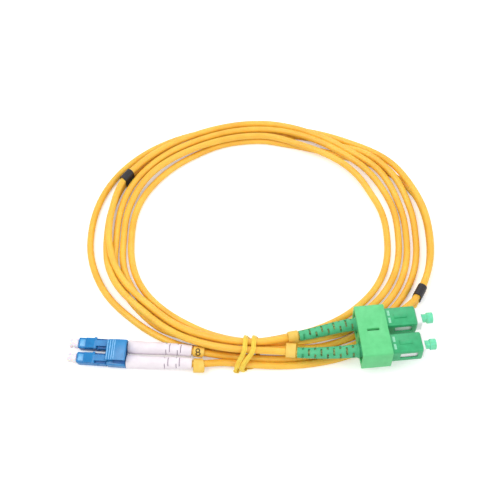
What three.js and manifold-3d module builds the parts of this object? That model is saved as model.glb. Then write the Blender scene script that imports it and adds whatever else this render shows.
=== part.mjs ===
// Duplex fibre patch cord, coiled and tied: two simplex cables with a small-form (LC) plug pair
// at one end and an angle-polished push-pull (SC) plug pair at the other.
// Millimetres, +Z up. The coil lies on the plane z = 0, the small plug pair points to -X.
import * as THREE from "three";
import { mergeVertices } from "three/addons/utils/BufferGeometryUtils.js";
import Module from "manifold-3d";

const wasm = await Module();
wasm.setup();

// Clearances shared by every piece.
const fit = 0.15; // between pieces that touch or slide
const endGap = 0.3; // between faces that meet end to end
const weld = 1e-3; // points closer than this are one point
const sunk = 0.2; // how far a fused detail reaches into its base

// Cable.
const cableR = 1.5;
const cableBoreR = cableR + fit; // bore of anything threaded on the cable
const bufferR = 0.45; // tight buffer round the glass
const bareFibreR = 0.1;

// Facets.
const cableSides = 6;
const coilStep = 12; // degrees between the rings of points on the coil
const endStep = 2.6;
const fineSides = 12;
const smallSides = 8;
const wireSides = 5;
const curlSteps = 8; // points to one curl of a spring

// Coil: a rounded oval. Angles run counter-clockwise seen from above, 0 at +X.
const coilCentre = [4.5, 5.3];
const coilHalfWidth = 76.3; // centreline of the outermost lane
const coilHalfDepth = 61.9;
const coilRoundness = 2.2; // exponent of the oval, 2 is an ellipse
const fullTurn = 360;

// Heights of the cable's centreline: on the table, on one cable, on two.
const low = 1.6;
const mid = 5.05;
const high = 8.5;
const tieLift = 1.3; // the tie's wire lies below the bundle
const sleeveLift = 0.6; // the shrink sleeves' wall lies below the pair

const ringStart = -26.5; // second shrink sleeve, where the small plugs' legs join the coil
const ringEnd = 147.15; // first shrink sleeve, where the large plugs' legs leave it
const turns = 2;
const tieAt = 266; // the tie, on the angle scale of the coil

// Weave of the cables: [angle, inset from the outermost lane, height].
const strandOne = [
  [ringStart, 0.4, mid + sleeveLift], [-10, 0.2, mid], [10, 0.5, mid], [25, 0.9, mid],
  [36, 0.5, mid], [60, 0.2, low], [90, 0.1, low], [135, 0, low], [180, 0, low], [205, 1.9, low], [225, 3.8, low], [243, 3.8, low],
  [254, 4.8, low + 0.5], [tieAt, 6.6, low + tieLift], [278, 8.6, low + 0.4], [290, 10.2, low],
  [305, 12, low], [318, 12.9, low], [fullTurn, 13.9, low], [383, 12.4, low], [408, 10.4, mid],
  [450, 3.4, mid], [480, 6.9, mid], [507, 9.5, 4.1], [540, 11.6, low], [558, 10.1, low],
  [582, 8.5, low], [593, 7.4, low], [602, 7.3, 3.4], [612, 6.6, mid + 0.5], [tieAt + fullTurn, 5, mid + tieLift],
  [638, 5.3, mid + 0.4], [653, 5.6, low], [665, 5.4, low], [678, 5.7, low], [720, 6.1, low],
  [736, 5.3, low], [756, 4.1, mid], [766, 3.7, mid], [780, 3.7, low], [830, 4.2, low],
  [853, 5, low + 0.2], [ringEnd + turns * fullTurn, 5.4, low + sleeveLift],
];
const strandTwo = [
  [ringStart, 0.4, low + sleeveLift], [-14, 0.1, low], [18, 0, low], [40, 4.2, low],
  [55, 8.4, low], [66, 9.8, low], [78, 9.2, low], [90, 7.6, low], [102, 8.4, low], [120, 12.2, low], [147, 16.3, low], [180, 18.4, low],
  [220, 15.8, low], [235, 14.4, low], [243, 13.4, low], [252, 11.8, low + 0.4], [tieAt, 10.1, low + tieLift],
  [282, 12.7, low + 0.3], [290, 13.6, low], [305, 15.3, low], [318, 16.7, low],
  [fullTurn, 19, low], [388, 17.8, low], [405, 15.4, 4], [414, 14.1, mid], [432, 11, mid],
  [450, 7.1, mid], [480, 10.4, mid],
  [497, 12.1, mid], [520, 13.9, low + 0.9], [540, 14.9, low], [560, 13.5, low],
  [580, 12.2, low], [593, 10.9, low], [602, 10.3, 3.4], [612, 9.7, mid + 0.5], [tieAt + fullTurn, 8.3, mid + tieLift],
  [642, 8.1, mid], [650, 8.1, mid], [665, 8.7, low], [678, 9.2, low], [720, 10.3, low],
  [738, 9.4, low], [762, 7.2, mid], [772, 6.9, mid], [784, 4.6, mid], [810, 0, mid],
  [840, 3.3, mid + 0.1],
  [ringEnd + turns * fullTurn, 5.4, mid + sleeveLift],
];
const largeLegOne = [
  [ringEnd, 5.4, mid + sleeveLift], [165, 7.6, mid + 0.1], [180, 8.6, mid], [207, 11, mid],
  [222, 12.1, mid], [235, 10.8, mid], [250, 7.9, high + 0.4], [tieAt, 6.9, high + tieLift],
];
const largeLegTwo = [
  [ringEnd, 5.4, low + sleeveLift], [165, 6.7, low + 0.2], [180, 7.3, low], [186, 7.3, low],
  [203, 7.4, mid], [222, 8.6, mid], [235, 7.3, mid], [250, 4.4, high + 0.4],
  [tieAt, 3.4, high + tieLift],
];
const smallLegOne = [
  [260, 2.9, low + tieLift + 0.2], [tieAt, 2.8, low + tieLift], [276, 2.5, low + 0.4],
  [289, 2.1, low], [296, 1.9, low], [303, 2, low], [312, 2.2, low], [321, 2.1, 4.3], [329, 0.4, mid + 0.3],
  [ringStart + fullTurn, 0.4, mid + sleeveLift],
];
const smallLegTwo = [
  [260, -0.1, low + tieLift + 0.2], [tieAt, -0.2, low + tieLift], [276, -0.6, low + 0.4],
  [289, -1.1, low], [296, -1.4, low], [306, -1.3, low], [316, -1, low], [325, -0.2, low],
  [ringStart + fullTurn, 0.4, low + sleeveLift],
];

// Small-form plug pair. u runs from a plug's front face towards its cable, v across, w up.
const small = {
  pitch: 6.25,
  front: [-71.96, -50.7, 3.037], // midway between the two axes, at the front faces
  yaw: -5,
  tilt: 2.5, // the boots lie on a cable, so the rear stands higher
  roll: 9, // the far plug stands higher
  width: 4.5,
  height: 4.6,
  corner: 0.35,
  noseChamfer: 0.4,
  housingLength: 12.6,
  housingBoreR: 1.7,
  holeAt: [8.4, 9.6],
  holeHalf: 0.5,
  bodyAt: [12.9, 20.7],
  bodyWidth: 4.9,
  barrelFront: 10.4,
  barrelR: 1.55,
  postR: 1.5,
  postEnd: 25.5,
  fibreBoreR: 0.7,
  ferruleR: 0.625,
  ferruleAt: [-2, 4.6],
  ferruleBoreR: 0.25,
  collarR: 1.45,
  collarAt: [3.4, 5.2],
  stemR: 1,
  stemEnd: 8.2,
  springR: 1.3,
  springWireR: 0.14,
  springCurls: 6,
  crimpAt: [21, 27.2],
  crimpR: 2,
  bootAt: [21, 48.6],
  bootR: [2.85, 2.35],
  bootGrooves: [16, 17.5, 20.8, 22.7],
  capFront: -4,
  capR: 1.95,
  capStemR: 1.5,
  capStemEnd: 2.6,
  capBoreR: 0.8,
  bootEnds: [[-24.16, -51.9, 5.75], [-24.05, -57.2, 4.8]],
  bootAims: [[1, -0.13, -0.03], [1, -0.06, -0.06]],
};

// Latch, trigger and clip of the small-form pair.
const latch = {
  rootAt: [3.3, 4.3], // the foot on the housing, the latch rocks about it
  rootTop: 3,
  plateEnd: 7.6,
  plateHalf: 2.1,
  plateBottom: 2.85,
  plateTop: 3.5,
  earAt: [7, 8],
  earHalf: 2.4,
  armHalf: 1.25,
  armEnd: 13.2,
  tipBottom: 3.3,
  tipTop: 3.95,
};
const trigger = {
  at: [12.5, 21.2],
  half: 4.6,
  bottom: 4.1,
  top: 4.7,
  ribAt: [13, 14.1, 15.2],
  ribWide: 0.5,
  ribTop: 4.95,
  knuckleAt: [19.8, 20.8],
  knuckleHalf: 4,
  noseDrop: 0.5,
};
const smallClip = { at: [15.6, 20.7], half: 5.4, top: 3.15, webHalf: 0.5 };

// Push-pull plug pair. u runs from the grips' front faces towards the cable.
const large = {
  pitch: 12.7,
  front: [69.86, -45.7, 11.1],
  yaw: 185.5,
  tilt: 0,
  roll: 6.5, // the near plug stands higher, its cable lies on two others
  coreShift: [-1.3, 0], // the far plug's core stands further out of its grip
  gripWidth: 9,
  gripHeight: 7.4,
  gripCorner: 0.6,
  gripChamfer: 0.7, // round the front edge, which leads the plug into its mouth
  gripLength: 25,
  cavityWidth: 7.9,
  cavityHeight: 6.2,
  windowAt: [2.4, 9.6],
  windowSpan: [-1.5, 1.9],
  keyAt: [4.2, 9.5],
  keyHalf: 1,
  keyTop: 4.1,
  frameWidth: 7.6,
  frameHeight: 5.9,
  frameCorner: 0.4,
  frameAt: [-0.7, 15.5],
  frameBoreR: 2.45,
  ferruleR: 1.25,
  ferruleAt: [-2.6, 8],
  ferruleBoreR: 0.25,
  polishAngle: 8,
  collarR: 2.3,
  collarAt: [7, 9],
  stemR: 1.35,
  stemEnd: 13,
  springR: 1.75,
  springWireR: 0.22,
  springCurls: 6,
  barrelFront: 14.8,
  barrelR: 2.25,
  blockAt: [15.8, 19],
  blockWidth: 7.2,
  blockHeight: 5.6,
  postR: 1.5,
  postEnd: 24,
  fibreBoreR: 0.7,
  crimpAt: [19.3, 25.7],
  crimpR: 2,
  bootAt: [19.3, 49.5],
  bootR: [2.9, 2.15],
  bootRingAt: [27.9, 29.4],
  bootRingR: 3.3,
  bootGrooveFirst: 12.2,
  bootGrooveStep: 2.6,
  bootGrooveCount: 7,
  capLength: 4.9,
  capRimLength: 2.7,
  capR: 2,
  capRimR: 2.35,
  capStemR: 2.2,
  capStemEnd: 3,
  capBoreR: 1.45,
  bootEnds: [[20.4, -46.9, 9.9], [19.4, -54.4, 9.9]],
  bootAims: [[-1, -0.16, -0.03], [-1, 0.08, -0.03]],
};
const largeClip = {
  at: [13.2, 25.5],
  sideWall: 1.2,
  topWall: 1.6,
  corner: 1,
  slotAt: [16.9, 21.9],
  slotHalf: 0.4,
  slotDepth: 1.2,
};

// Sleeves on the cables.
const grooveWide = 0.5;
const grooveDeep = 0.35;
const markerLength = 4.3;
const markerGap = 0.5;
const markerLongR = 3.1;
const markerShortR = 2.15;
const markerRolls = [80, 0]; // the first marker of each pair stands, the second lies
const markerOffset = 0.8; // the second lies off its cable's middle
const ringWall = 0.4;
const ringLength = 4.6;

// Twist tie: section of its loop as [y, z] round the bundle, then its twisted ends.
const tieR = 0.55;
const tieSpan = [-3.4, 2.9];
const tieWraps = 2;
const tieSteps = 24;
const tieLoop = [
  [-59.3, 2.6], [-59, 4.6], [-57.2, 8], [-56, 10.2], [-54.3, 12], [-51.5, 12.5],
  [-48.8, 12.2], [-47, 10.4], [-45.1, 7], [-43.2, 3.4], [-44, 1.2], [-47, 0.7],
  [-51.5, 0.7], [-56.3, 0.65], [-58.9, 0.9],
];
const tieFirstEnd = [[-6.6, -60.2, 1.3], [-4.9, -59.7, 1.7]];
const tieLastEnd = [[0.9, -60.2, 2.6], [-2, -60.8, 2.9], [-4.6, -61.2, 2.7], [-6.6, -61.4, 2.4]];

const paints = {
  cable: 0xf2b21c, marker: 0xf0c040, shrink: 0x1c1718, tie: 0xe8b930,
  blue: 0x2f86cc, pale: 0xf3eaf0, white: 0xf4f4f2, ceramic: 0xf7f6f0, steel: 0xb9bcc0,
  brass: 0xb08d57, green: 0x3fb37c, lightGreen: 0x78dd94, capGreen: 0x7de8b4, glass: 0xfff4d8,
};
const materials = Object.fromEntries(
  Object.entries(paints).map(([name, color]) => [name, new THREE.MeshStandardMaterial({ color })]),
);

const root = new THREE.Group();
root.name = "fibre_patch_cord";
const cordNames = [];

// --- Geometry helpers ---

function signedVolume(geometry) {
  const at = geometry.getAttribute("position");
  const corner = [new THREE.Vector3(), new THREE.Vector3(), new THREE.Vector3()];
  let sum = 0;
  for (let i = 0; i < geometry.index.count; i += 3) {
    corner.forEach((point, j) => point.fromBufferAttribute(at, geometry.index.getX(i + j)));
    sum += corner[0].dot(corner[1].clone().cross(corner[2]));
  }
  return sum;
}

// Welds the points and turns the faces outwards.
function outward(geometry) {
  const bare = geometry.clone();
  bare.deleteAttribute("normal");
  bare.deleteAttribute("uv");
  const welded = mergeVertices(bare, weld);
  if (signedVolume(welded) < 0) {
    const index = welded.index.array;
    for (let i = 0; i < index.length; i += 3) [index[i], index[i + 1]] = [index[i + 1], index[i]];
  }
  return welded;
}

function asSolid(geometry) {
  const ready = outward(geometry);
  return new wasm.Manifold(new wasm.Mesh({
    numProp: 3,
    vertProperties: ready.getAttribute("position").array,
    triVerts: new Uint32Array(ready.index.array),
  }));
}

function asGeometry(solid) {
  const mesh = solid.getMesh();
  const geometry = new THREE.BufferGeometry();
  geometry.setAttribute("position", new THREE.BufferAttribute(mesh.vertProperties, 3));
  geometry.setIndex(new THREE.BufferAttribute(mesh.triVerts, 1));
  return geometry;
}

function fused(...pieces) {
  return asGeometry(pieces.map(asSolid).reduce((whole, piece) => whole.add(piece)));
}

function cutFrom(base, ...tools) {
  return asGeometry(tools.map(asSolid).reduce((left, tool) => left.subtract(tool), asSolid(base)));
}

function block([uFrom, uTo], [vFrom, vTo], [wFrom, wTo]) {
  return new THREE.BoxGeometry(uTo - uFrom, vTo - vFrom, wTo - wFrom)
    .translate((uFrom + uTo) / 2, (vFrom + vTo) / 2, (wFrom + wTo) / 2);
}

// A turned piece along u from its [u, radius] profile, closed on the axis or on itself.
function turned(profile, sides = fineSides) {
  const points = profile.map(([u, radius]) => new THREE.Vector2(radius, u));
  return new THREE.LatheGeometry(points, sides).rotateZ(-Math.PI / 2);
}

function rod([uFrom, uTo], radius, sides) {
  return turned([[uFrom, 0], [uFrom, radius], [uTo, radius], [uTo, 0]], sides);
}

function sleeve([uFrom, uTo], outerR, innerR, sides) {
  return turned(
    [[uFrom, innerR], [uFrom, outerR], [uTo, outerR], [uTo, innerR], [uFrom, innerR]],
    sides,
  );
}

function roundedOutline(width, height, corner, cornerSteps = 2) {
  const points = [];
  const centres = [[1, 1], [-1, 1], [-1, -1], [1, -1]];
  centres.forEach(([sideX, sideY], quarter) => {
    for (let step = 0; step <= cornerSteps; step++) {
      const angle = ((quarter + step / cornerSteps) * Math.PI) / 2;
      points.push(new THREE.Vector2(
        sideX * (width / 2 - corner) + corner * Math.cos(angle),
        sideY * (height / 2 - corner) + corner * Math.sin(angle),
      ));
    }
  });
  return points;
}

function circleOutline(radius, sides = fineSides) {
  return Array.from({ length: sides }, (_, i) => {
    const angle = (i / sides) * 2 * Math.PI;
    return new THREE.Vector2(radius * Math.cos(angle), radius * Math.sin(angle));
  });
}

// An outline in v and w with holes, drawn out along u.
function drawn([uFrom, uTo], outline, holes = []) {
  const shape = new THREE.Shape(outline);
  shape.holes = holes.map((hole) => new THREE.Path(hole));
  const turnUp = new THREE.Matrix4().makeBasis(
    new THREE.Vector3(0, 1, 0), new THREE.Vector3(0, 0, 1), new THREE.Vector3(1, 0, 0),
  );
  return new THREE.ExtrudeGeometry(shape, { depth: uTo - uFrom, bevelEnabled: false, steps: 1 })
    .translate(0, 0, uFrom)
    .applyMatrix4(turnUp);
}

// A bar along u whose front edge is chamfered all round.
function nosedBar([uFrom, uTo], width, height, corner, chamfer) {
  const ringAtU = (u, less) => (
    roundedOutline(width - 2 * less, height - 2 * less, corner)
      .map((point) => new THREE.Vector3(u, point.x, point.y))
  );
  return skin([ringAtU(uFrom, chamfer), ringAtU(uFrom + chamfer, 0), ringAtU(uTo, 0)], false);
}

// Joins rings of points into one skin. A closed chain of rings makes a bored piece.
function skin(rings, closedChain) {
  const sides = rings[0].length;
  const positions = rings.flat().flatMap((point) => point.toArray());
  const index = [];
  const last = closedChain ? rings.length : rings.length - 1;
  for (let i = 0; i < last; i++) {
    const here = i * sides;
    const next = ((i + 1) % rings.length) * sides;
    for (let j = 0; j < sides; j++) {
      const k = (j + 1) % sides;
      index.push(here + j, next + j, next + k, here + j, next + k, here + k);
    }
  }
  if (!closedChain) {
    const end = (rings.length - 1) * sides;
    for (let j = 1; j < sides - 1; j++) index.push(0, j, j + 1, end, end + j + 1, end + j);
  }
  const geometry = new THREE.BufferGeometry();
  geometry.setAttribute("position", new THREE.Float32BufferAttribute(positions, 3));
  geometry.setIndex(index);
  return outward(geometry);
}

const upAxis = new THREE.Vector3(0, 0, 1);
const alongAxis = new THREE.Vector3(1, 0, 0);

// A ring of points square to a direction, with one corner up. Long and short radii make an oval.
function ringAt(point, along, sides, acrossR, upR = acrossR, roll = 0, reference = upAxis) {
  const across = new THREE.Vector3().crossVectors(along, reference).normalize();
  const up = new THREE.Vector3().crossVectors(across, along).normalize();
  const tilt = THREE.MathUtils.degToRad(roll);
  return Array.from({ length: sides }, (_, i) => {
    const angle = (i / sides) * 2 * Math.PI;
    const a = acrossR * Math.sin(angle);
    const b = upR * Math.cos(angle);
    return point.clone()
      .addScaledVector(across, a * Math.cos(tilt) - b * Math.sin(tilt))
      .addScaledVector(up, a * Math.sin(tilt) + b * Math.cos(tilt));
  });
}

function tube(points, radius, sides, reference = upAxis) {
  const rings = points.map((point, i) => {
    const before = points[Math.max(i - 1, 0)];
    const after = points[Math.min(i + 1, points.length - 1)];
    const along = after.clone().sub(before).normalize();
    return ringAt(point, along, sides, radius, radius, 0, reference);
  });
  return skin(rings, false);
}

function add(name, geometry, material, matrix) {
  const placed = matrix ? geometry.clone().applyMatrix4(matrix) : geometry;
  const mesh = new THREE.Mesh(placed, material);
  mesh.name = name;
  root.add(mesh);
  return mesh;
}

function addCord(name, geometry, material) {
  cordNames.push(name);
  return add(name, geometry, material);
}

function placement({ front, yaw, tilt, roll }) {
  const rad = THREE.MathUtils.degToRad;
  return new THREE.Matrix4().makeTranslation(...front)
    .multiply(new THREE.Matrix4().makeRotationZ(rad(yaw)))
    .multiply(new THREE.Matrix4().makeRotationY(rad(-tilt)))
    .multiply(new THREE.Matrix4().makeRotationX(rad(roll)));
}

// --- Coil ---

// A smooth value between the stations of a weave, with no overshoot.
function between(stations, angle, column) {
  const last = stations.length - 1;
  let i = stations.findIndex((station) => station[0] >= angle);
  if (i < 0) i = last;
  i = Math.max(i, 1);
  const slope = (k) => (stations[k][column] - stations[k - 1][column])
    / (stations[k][0] - stations[k - 1][0]);
  const tangent = (k) => {
    if (k === 0 || k === last) return 0;
    const [before, after] = [slope(k), slope(k + 1)];
    return before * after <= 0 ? 0 : (2 * before * after) / (before + after);
  };
  const [from, to] = [stations[i - 1], stations[i]];
  const span = to[0] - from[0];
  const t = THREE.MathUtils.clamp((angle - from[0]) / span, 0, 1);
  const [t2, t3] = [t * t, t * t * t];
  return (2 * t3 - 3 * t2 + 1) * from[column] + (t3 - 2 * t2 + t) * span * tangent(i - 1)
    + (3 * t2 - 2 * t3) * to[column] + (t3 - t2) * span * tangent(i);
}

function onCoil(stations, angle) {
  const turn = THREE.MathUtils.degToRad(angle);
  const [c, s] = [Math.cos(turn), Math.sin(turn)];
  const reach = (Math.abs(c) ** coilRoundness + Math.abs(s) ** coilRoundness) ** (-1 / coilRoundness);
  const inset = between(stations, angle, 1);
  return new THREE.Vector3(
    coilCentre[0] + (coilHalfWidth - inset) * reach * c,
    coilCentre[1] + (coilHalfDepth - inset) * reach * s,
    between(stations, angle, 2),
  );
}

// Points along a weave from one angle to another: the ends, a point close to each so that the
// cable is straight in a sleeve, and every step between them.
function woven(stations, from, to) {
  const angles = [from, from + endStep];
  const first = Math.floor(from / coilStep) + 1;
  for (let step = first; step * coilStep < to; step++) {
    const angle = step * coilStep;
    if (angle - from > 2 * endStep && to - angle > 2 * endStep) angles.push(angle);
  }
  return [...angles, to - endStep, to].map((angle) => onCoil(stations, angle));
}

function leastGap(points, radius) {
  const fine = points.slice(1).flatMap((point, i) => {
    const parts = 4;
    return Array.from({ length: parts }, (_, k) => points[i].clone().lerp(point, k / parts));
  });
  const apart = 20; // points nearer than this along the cable aren't compared
  let least = Infinity;
  let where = fine[0];
  for (let i = 0; i < fine.length; i++) {
    for (let j = i + apart; j < fine.length; j++) {
      const distance = fine[i].distanceTo(fine[j]);
      if (distance < least) [least, where] = [distance, fine[i]];
    }
  }
  const place = where.toArray().map((value) => value.toFixed(1)).join(", ");
  return `${(least - 2 * radius).toFixed(2)} mm, near ${place}`;
}

const halfGap = THREE.MathUtils.radToDeg(endGap / 2 / coilHalfWidth);
const coilEnd = ringEnd + turns * fullTurn;
const strands = [strandOne, strandTwo];
strands.forEach((stations, i) => {
  const points = woven(stations, ringStart + halfGap, coilEnd - halfGap);
  const name = `coil_strand_${i + 1}`;
  addCord(name, tube(points, cableR, cableSides), materials.cable);
  console.log(`${name}: least gap to itself ${leastGap(points, cableR)}`);
});

// A shrink sleeve round a pair of cables, one above the other.
function shrinkSleeve(stations, angle) {
  const [upper, lower] = stations.map((weave) => onCoil(weave, angle));
  const ahead = onCoil(stations[0], angle + 1).sub(onCoil(stations[0], angle - 1)).setZ(0).normalize();
  const centre = upper.clone().add(lower).multiplyScalar(1 / 2);
  const stack = Math.abs(upper.z - lower.z);
  const outline = (radius) => roundedOutline(2 * radius, stack + 2 * radius, radius, 4);
  const geometry = drawn(
    [-ringLength / 2, ringLength / 2],
    outline(cableBoreR + ringWall),
    [outline(cableBoreR)],
  );
  const across = new THREE.Vector3().crossVectors(upAxis, ahead);
  const matrix = new THREE.Matrix4().makeBasis(ahead, across, upAxis).setPosition(centre);
  return geometry.applyMatrix4(matrix);
}
addCord("shrink_sleeve_1", shrinkSleeve([strandTwo, strandOne], coilEnd), materials.shrink);
addCord("shrink_sleeve_2", shrinkSleeve([strandOne, strandTwo], ringStart), materials.shrink);

// --- Cable legs, boots and markers ---

// The way of one cable through its boot: straight through the crimp, then a gentle bend.
function bootRoute(pair, matrix, v, i) {
  const toWorld = (u) => new THREE.Vector3(u, v, 0).applyMatrix4(matrix);
  const start = toWorld(pair.bootAt[0]);
  const bend = toWorld(pair.crimpAt[1] + endGap);
  const end = new THREE.Vector3(...pair.bootEnds[i]);
  const out = bend.clone().sub(start).normalize();
  const aim = new THREE.Vector3(...pair.bootAims[i]).normalize();
  const hold = bend.distanceTo(end) / 3;
  const route = new THREE.CurvePath();
  route.add(new THREE.LineCurve3(start, bend));
  route.add(new THREE.CubicBezierCurve3(
    bend, bend.clone().addScaledVector(out, hold), end.clone().addScaledVector(aim, -hold), end,
  ));
  return { route, end, aim, length: route.getLength() };
}

// A bored piece along a route from rings of [distance, across radius, up radius].
function shellAlong(route, length, rings, sides, roll = 0, offset = 0) {
  return skin(rings.map(([distance, acrossR, upR]) => {
    const t = THREE.MathUtils.clamp(distance / length, 0, 1);
    const along = route.getTangentAt(t);
    const point = route.getPointAt(t);
    if (upR) point.addScaledVector(new THREE.Vector3().crossVectors(along, upAxis), offset);
    return ringAt(point, along, sides, acrossR, upR ?? acrossR, roll);
  }), true);
}

function bootGeometry(pair, way, grooves, collar) {
  const [frontR, rearR] = pair.bootR;
  const radiusAt = (distance) => frontR + ((rearR - frontR) * distance) / way.length;
  const outer = [[0, frontR]];
  if (collar) {
    const [from, to] = collar;
    outer.push([from, radiusAt(from)], [from, pair.bootRingR], [to, pair.bootRingR], [to, radiusAt(to)]);
  }
  grooves.forEach((from) => {
    const to = from + grooveWide;
    const [nearR, farR] = [radiusAt(from), radiusAt(to)];
    outer.push([from, nearR], [from, nearR - grooveDeep], [to, farR - grooveDeep], [to, farR]);
  });
  outer.push([way.length, rearR]);
  const step = pair.crimpAt[1] - pair.bootAt[0] + endGap;
  const bends = 6;
  const inner = Array.from({ length: bends + 1 }, (_, i) => (
    [way.length + ((step - way.length) * i) / bends, cableBoreR]
  ));
  inner.push([step, pair.crimpR + fit], [0, pair.crimpR + fit]);
  return shellAlong(way.route, way.length, [...outer, ...inner], fineSides);
}

const markerSides = 16;

function markerGeometry(curve, i) {
  const length = curve.getLength();
  const ends = [markerGap, markerGap + markerLength];
  const rings = [
    [ends[0], markerLongR, markerShortR], [ends[1], markerLongR, markerShortR],
    [ends[1], cableBoreR], [ends[0], cableBoreR],
  ];
  return shellAlong(curve, length, rings, markerSides, markerRolls[i], i * markerOffset);
}

// A smooth free run of cable between a boot and the coil.
function freeRun(way, stations, towardsEnd) {
  const joinAt = towardsEnd ? stations[0][0] : stations[stations.length - 1][0];
  const join = onCoil(stations, joinAt);
  const inward = onCoil(stations, towardsEnd ? joinAt + 2 : joinAt - 2);
  const aim = inward.sub(join).normalize();
  const hold = way.end.distanceTo(join) / 3;
  return new THREE.CubicBezierCurve3(
    way.end, way.end.clone().addScaledVector(way.aim, hold),
    join.clone().addScaledVector(aim, -hold), join,
  );
}

const bootStep = 5; // distance between the cable's points inside a boot
const runSteps = 5;

function legPoints(pair, way, run, stations, towardsEnd) {
  const first = pair.postEnd + endGap - pair.bootAt[0];
  const count = Math.ceil((way.length - first) / bootStep);
  const points = [];
  for (let i = 0; i < count; i++) {
    const distance = first + ((way.length - first) * i) / count;
    points.push(way.route.getPointAt(distance / way.length));
  }
  for (let i = 0; i < runSteps; i++) points.push(run.getPointAt(i / runSteps));
  const last = stations.length - 1;
  const ends = [stations[0][0], stations[last][0]];
  if (towardsEnd) return points.concat(woven(stations, ends[0], ends[1] - halfGap));
  return points.concat(woven(stations, ends[0] + halfGap, ends[1]).reverse());
}

// --- Small parts shared by both plug types ---

function springGeometry(radius, wireR, [uFrom, uTo], curls) {
  const steps = curls * curlSteps;
  const points = Array.from({ length: steps + 1 }, (_, i) => {
    const angle = (i / curlSteps) * 2 * Math.PI;
    const u = uFrom + wireR + ((uTo - uFrom - 2 * wireR) * i) / steps;
    return new THREE.Vector3(radius * Math.cos(angle), radius * Math.sin(angle), u);
  });
  const rings = points.map((point, i) => {
    const before = points[Math.max(i - 1, 0)];
    const after = points[Math.min(i + 1, steps)];
    return ringAt(point, after.clone().sub(before).normalize(), wireSides, wireR);
  });
  return skin(rings, false).rotateY(Math.PI / 2);
}

function flangeGeometry(pair) {
  const [front, back] = pair.collarAt;
  const seat = pair.ferruleAt[1] + fit;
  const socketR = pair.ferruleR + fit;
  const boreR = bufferR + fit;
  return turned([
    [front, socketR], [front, pair.collarR], [back, pair.collarR], [back, pair.stemR],
    [pair.stemEnd, pair.stemR], [pair.stemEnd, boreR], [seat, boreR], [seat, socketR],
    [front, socketR],
  ]);
}

function fibreGeometry(pair) {
  const [tip, seat] = pair.ferruleAt;
  const swell = seat + fit / 2;
  const floatRoom = 1.5; // the fibre slides back with its ferrule
  const end = pair.postEnd - floatRoom;
  return turned([
    [tip + 2 * fit, 0], [tip + 2 * fit, bareFibreR], [swell, bareFibreR],
    [swell, bufferR], [end, bufferR], [end, 0],
  ], smallSides);
}

function addInnards(kind, n, pair, matrix) {
  const ferruleRod = sleeve(pair.ferruleAt, pair.ferruleR, pair.ferruleBoreR);
  const angled = pair.polishAngle ? anglePolished(ferruleRod, pair) : ferruleRod;
  add(`${kind}_ferrule_${n}`, angled, materials.ceramic, matrix);
  add(`${kind}_flange_${n}`, flangeGeometry(pair), materials.steel, matrix);
  const room = [pair.collarAt[1] + fit, pair.barrelFront - fit];
  const spring = springGeometry(pair.springR, pair.springWireR, room, pair.springCurls);
  add(`${kind}_spring_${n}`, spring, materials.steel, matrix);
  add(`${kind}_fibre_${n}`, fibreGeometry(pair), materials.glass, matrix);
  const crimp = sleeve(pair.crimpAt, pair.crimpR, cableBoreR);
  add(`${kind}_crimp_${n}`, crimp, materials.brass, matrix);
}

function anglePolished(ferrule, pair) {
  const reach = 2 * pair.ferruleR;
  const slant = THREE.MathUtils.degToRad(pair.polishAngle);
  const cutter = block([-2 * reach, 0], [-reach, reach], [-reach, reach])
    .rotateY(slant)
    .translate(pair.ferruleAt[0] + pair.ferruleR * Math.tan(slant), 0, 0);
  return cutFrom(ferrule, cutter);
}

// A cap: a head in front of the plug and a hollow stem in its mouth.
function capGeometry(head, stemR, stemEnd, boreR, boreDepth) {
  const stem = [[head[head.length - 1][0], stemR], [stemEnd, stemR], [stemEnd, boreR]];
  return turned([[head[0][0], 0], ...head, ...stem, [boreDepth, boreR], [boreDepth, 0]]);
}

function shifted(matrix, u, v) {
  return matrix.clone().multiply(new THREE.Matrix4().makeTranslation(u, v, 0));
}

// --- Small-form plug pair ---

const smallPlace = placement(small);
const smallV = [small.pitch / 2, -small.pitch / 2];

function smallHousing() {
  const length = small.housingLength;
  const bar = nosedBar([0, length], small.width, small.height, small.corner, small.noseChamfer);
  const bore = rod([-1, length + 1], small.housingBoreR);
  const hole = block(
    small.holeAt, [-small.width, small.width], [-small.holeHalf, small.holeHalf],
  );
  return cutFrom(bar, bore, hole);
}

function smallLatch() {
  const base = small.height / 2 + fit;
  const [front, heel] = latch.rootAt;
  const plate = profileBar([
    [front, base], [heel, base], [latch.plateEnd, latch.plateBottom],
    [latch.plateEnd, latch.plateTop], [front, latch.rootTop],
  ], latch.plateHalf);
  const ears = block(
    latch.earAt, [-latch.earHalf, latch.earHalf], [latch.plateBottom, latch.plateTop],
  );
  const arm = profileBar([
    [latch.earAt[0], latch.plateBottom + sunk], [latch.plateEnd, latch.plateBottom],
    [latch.armEnd, latch.tipBottom], [latch.armEnd, latch.tipTop],
    [latch.plateEnd, latch.plateTop], [latch.earAt[0], latch.plateTop - sunk],
  ], latch.armHalf);
  return fused(arm, plate, ears);
}

// A side outline of [u, w] points with a width across v.
function profileBar(side, half) {
  const shape = new THREE.Shape(side.map(([u, w]) => new THREE.Vector2(u, w)));
  return new THREE.ExtrudeGeometry(shape, { depth: 2 * half, bevelEnabled: false, steps: 1 })
    .translate(0, 0, -half)
    .rotateX(Math.PI / 2);
}

function smallBody() {
  const [front, back] = small.bodyAt;
  const shell = drawn(small.bodyAt, roundedOutline(small.bodyWidth, small.height, small.corner));
  const barrel = rod([small.barrelFront, front + sunk], small.barrelR);
  const post = rod([back - sunk, small.postEnd], small.postR);
  const bore = rod([small.barrelFront - 1, small.postEnd + 1], small.fibreBoreR, smallSides);
  return cutFrom(fused(shell, barrel, post), bore);
}

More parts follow.
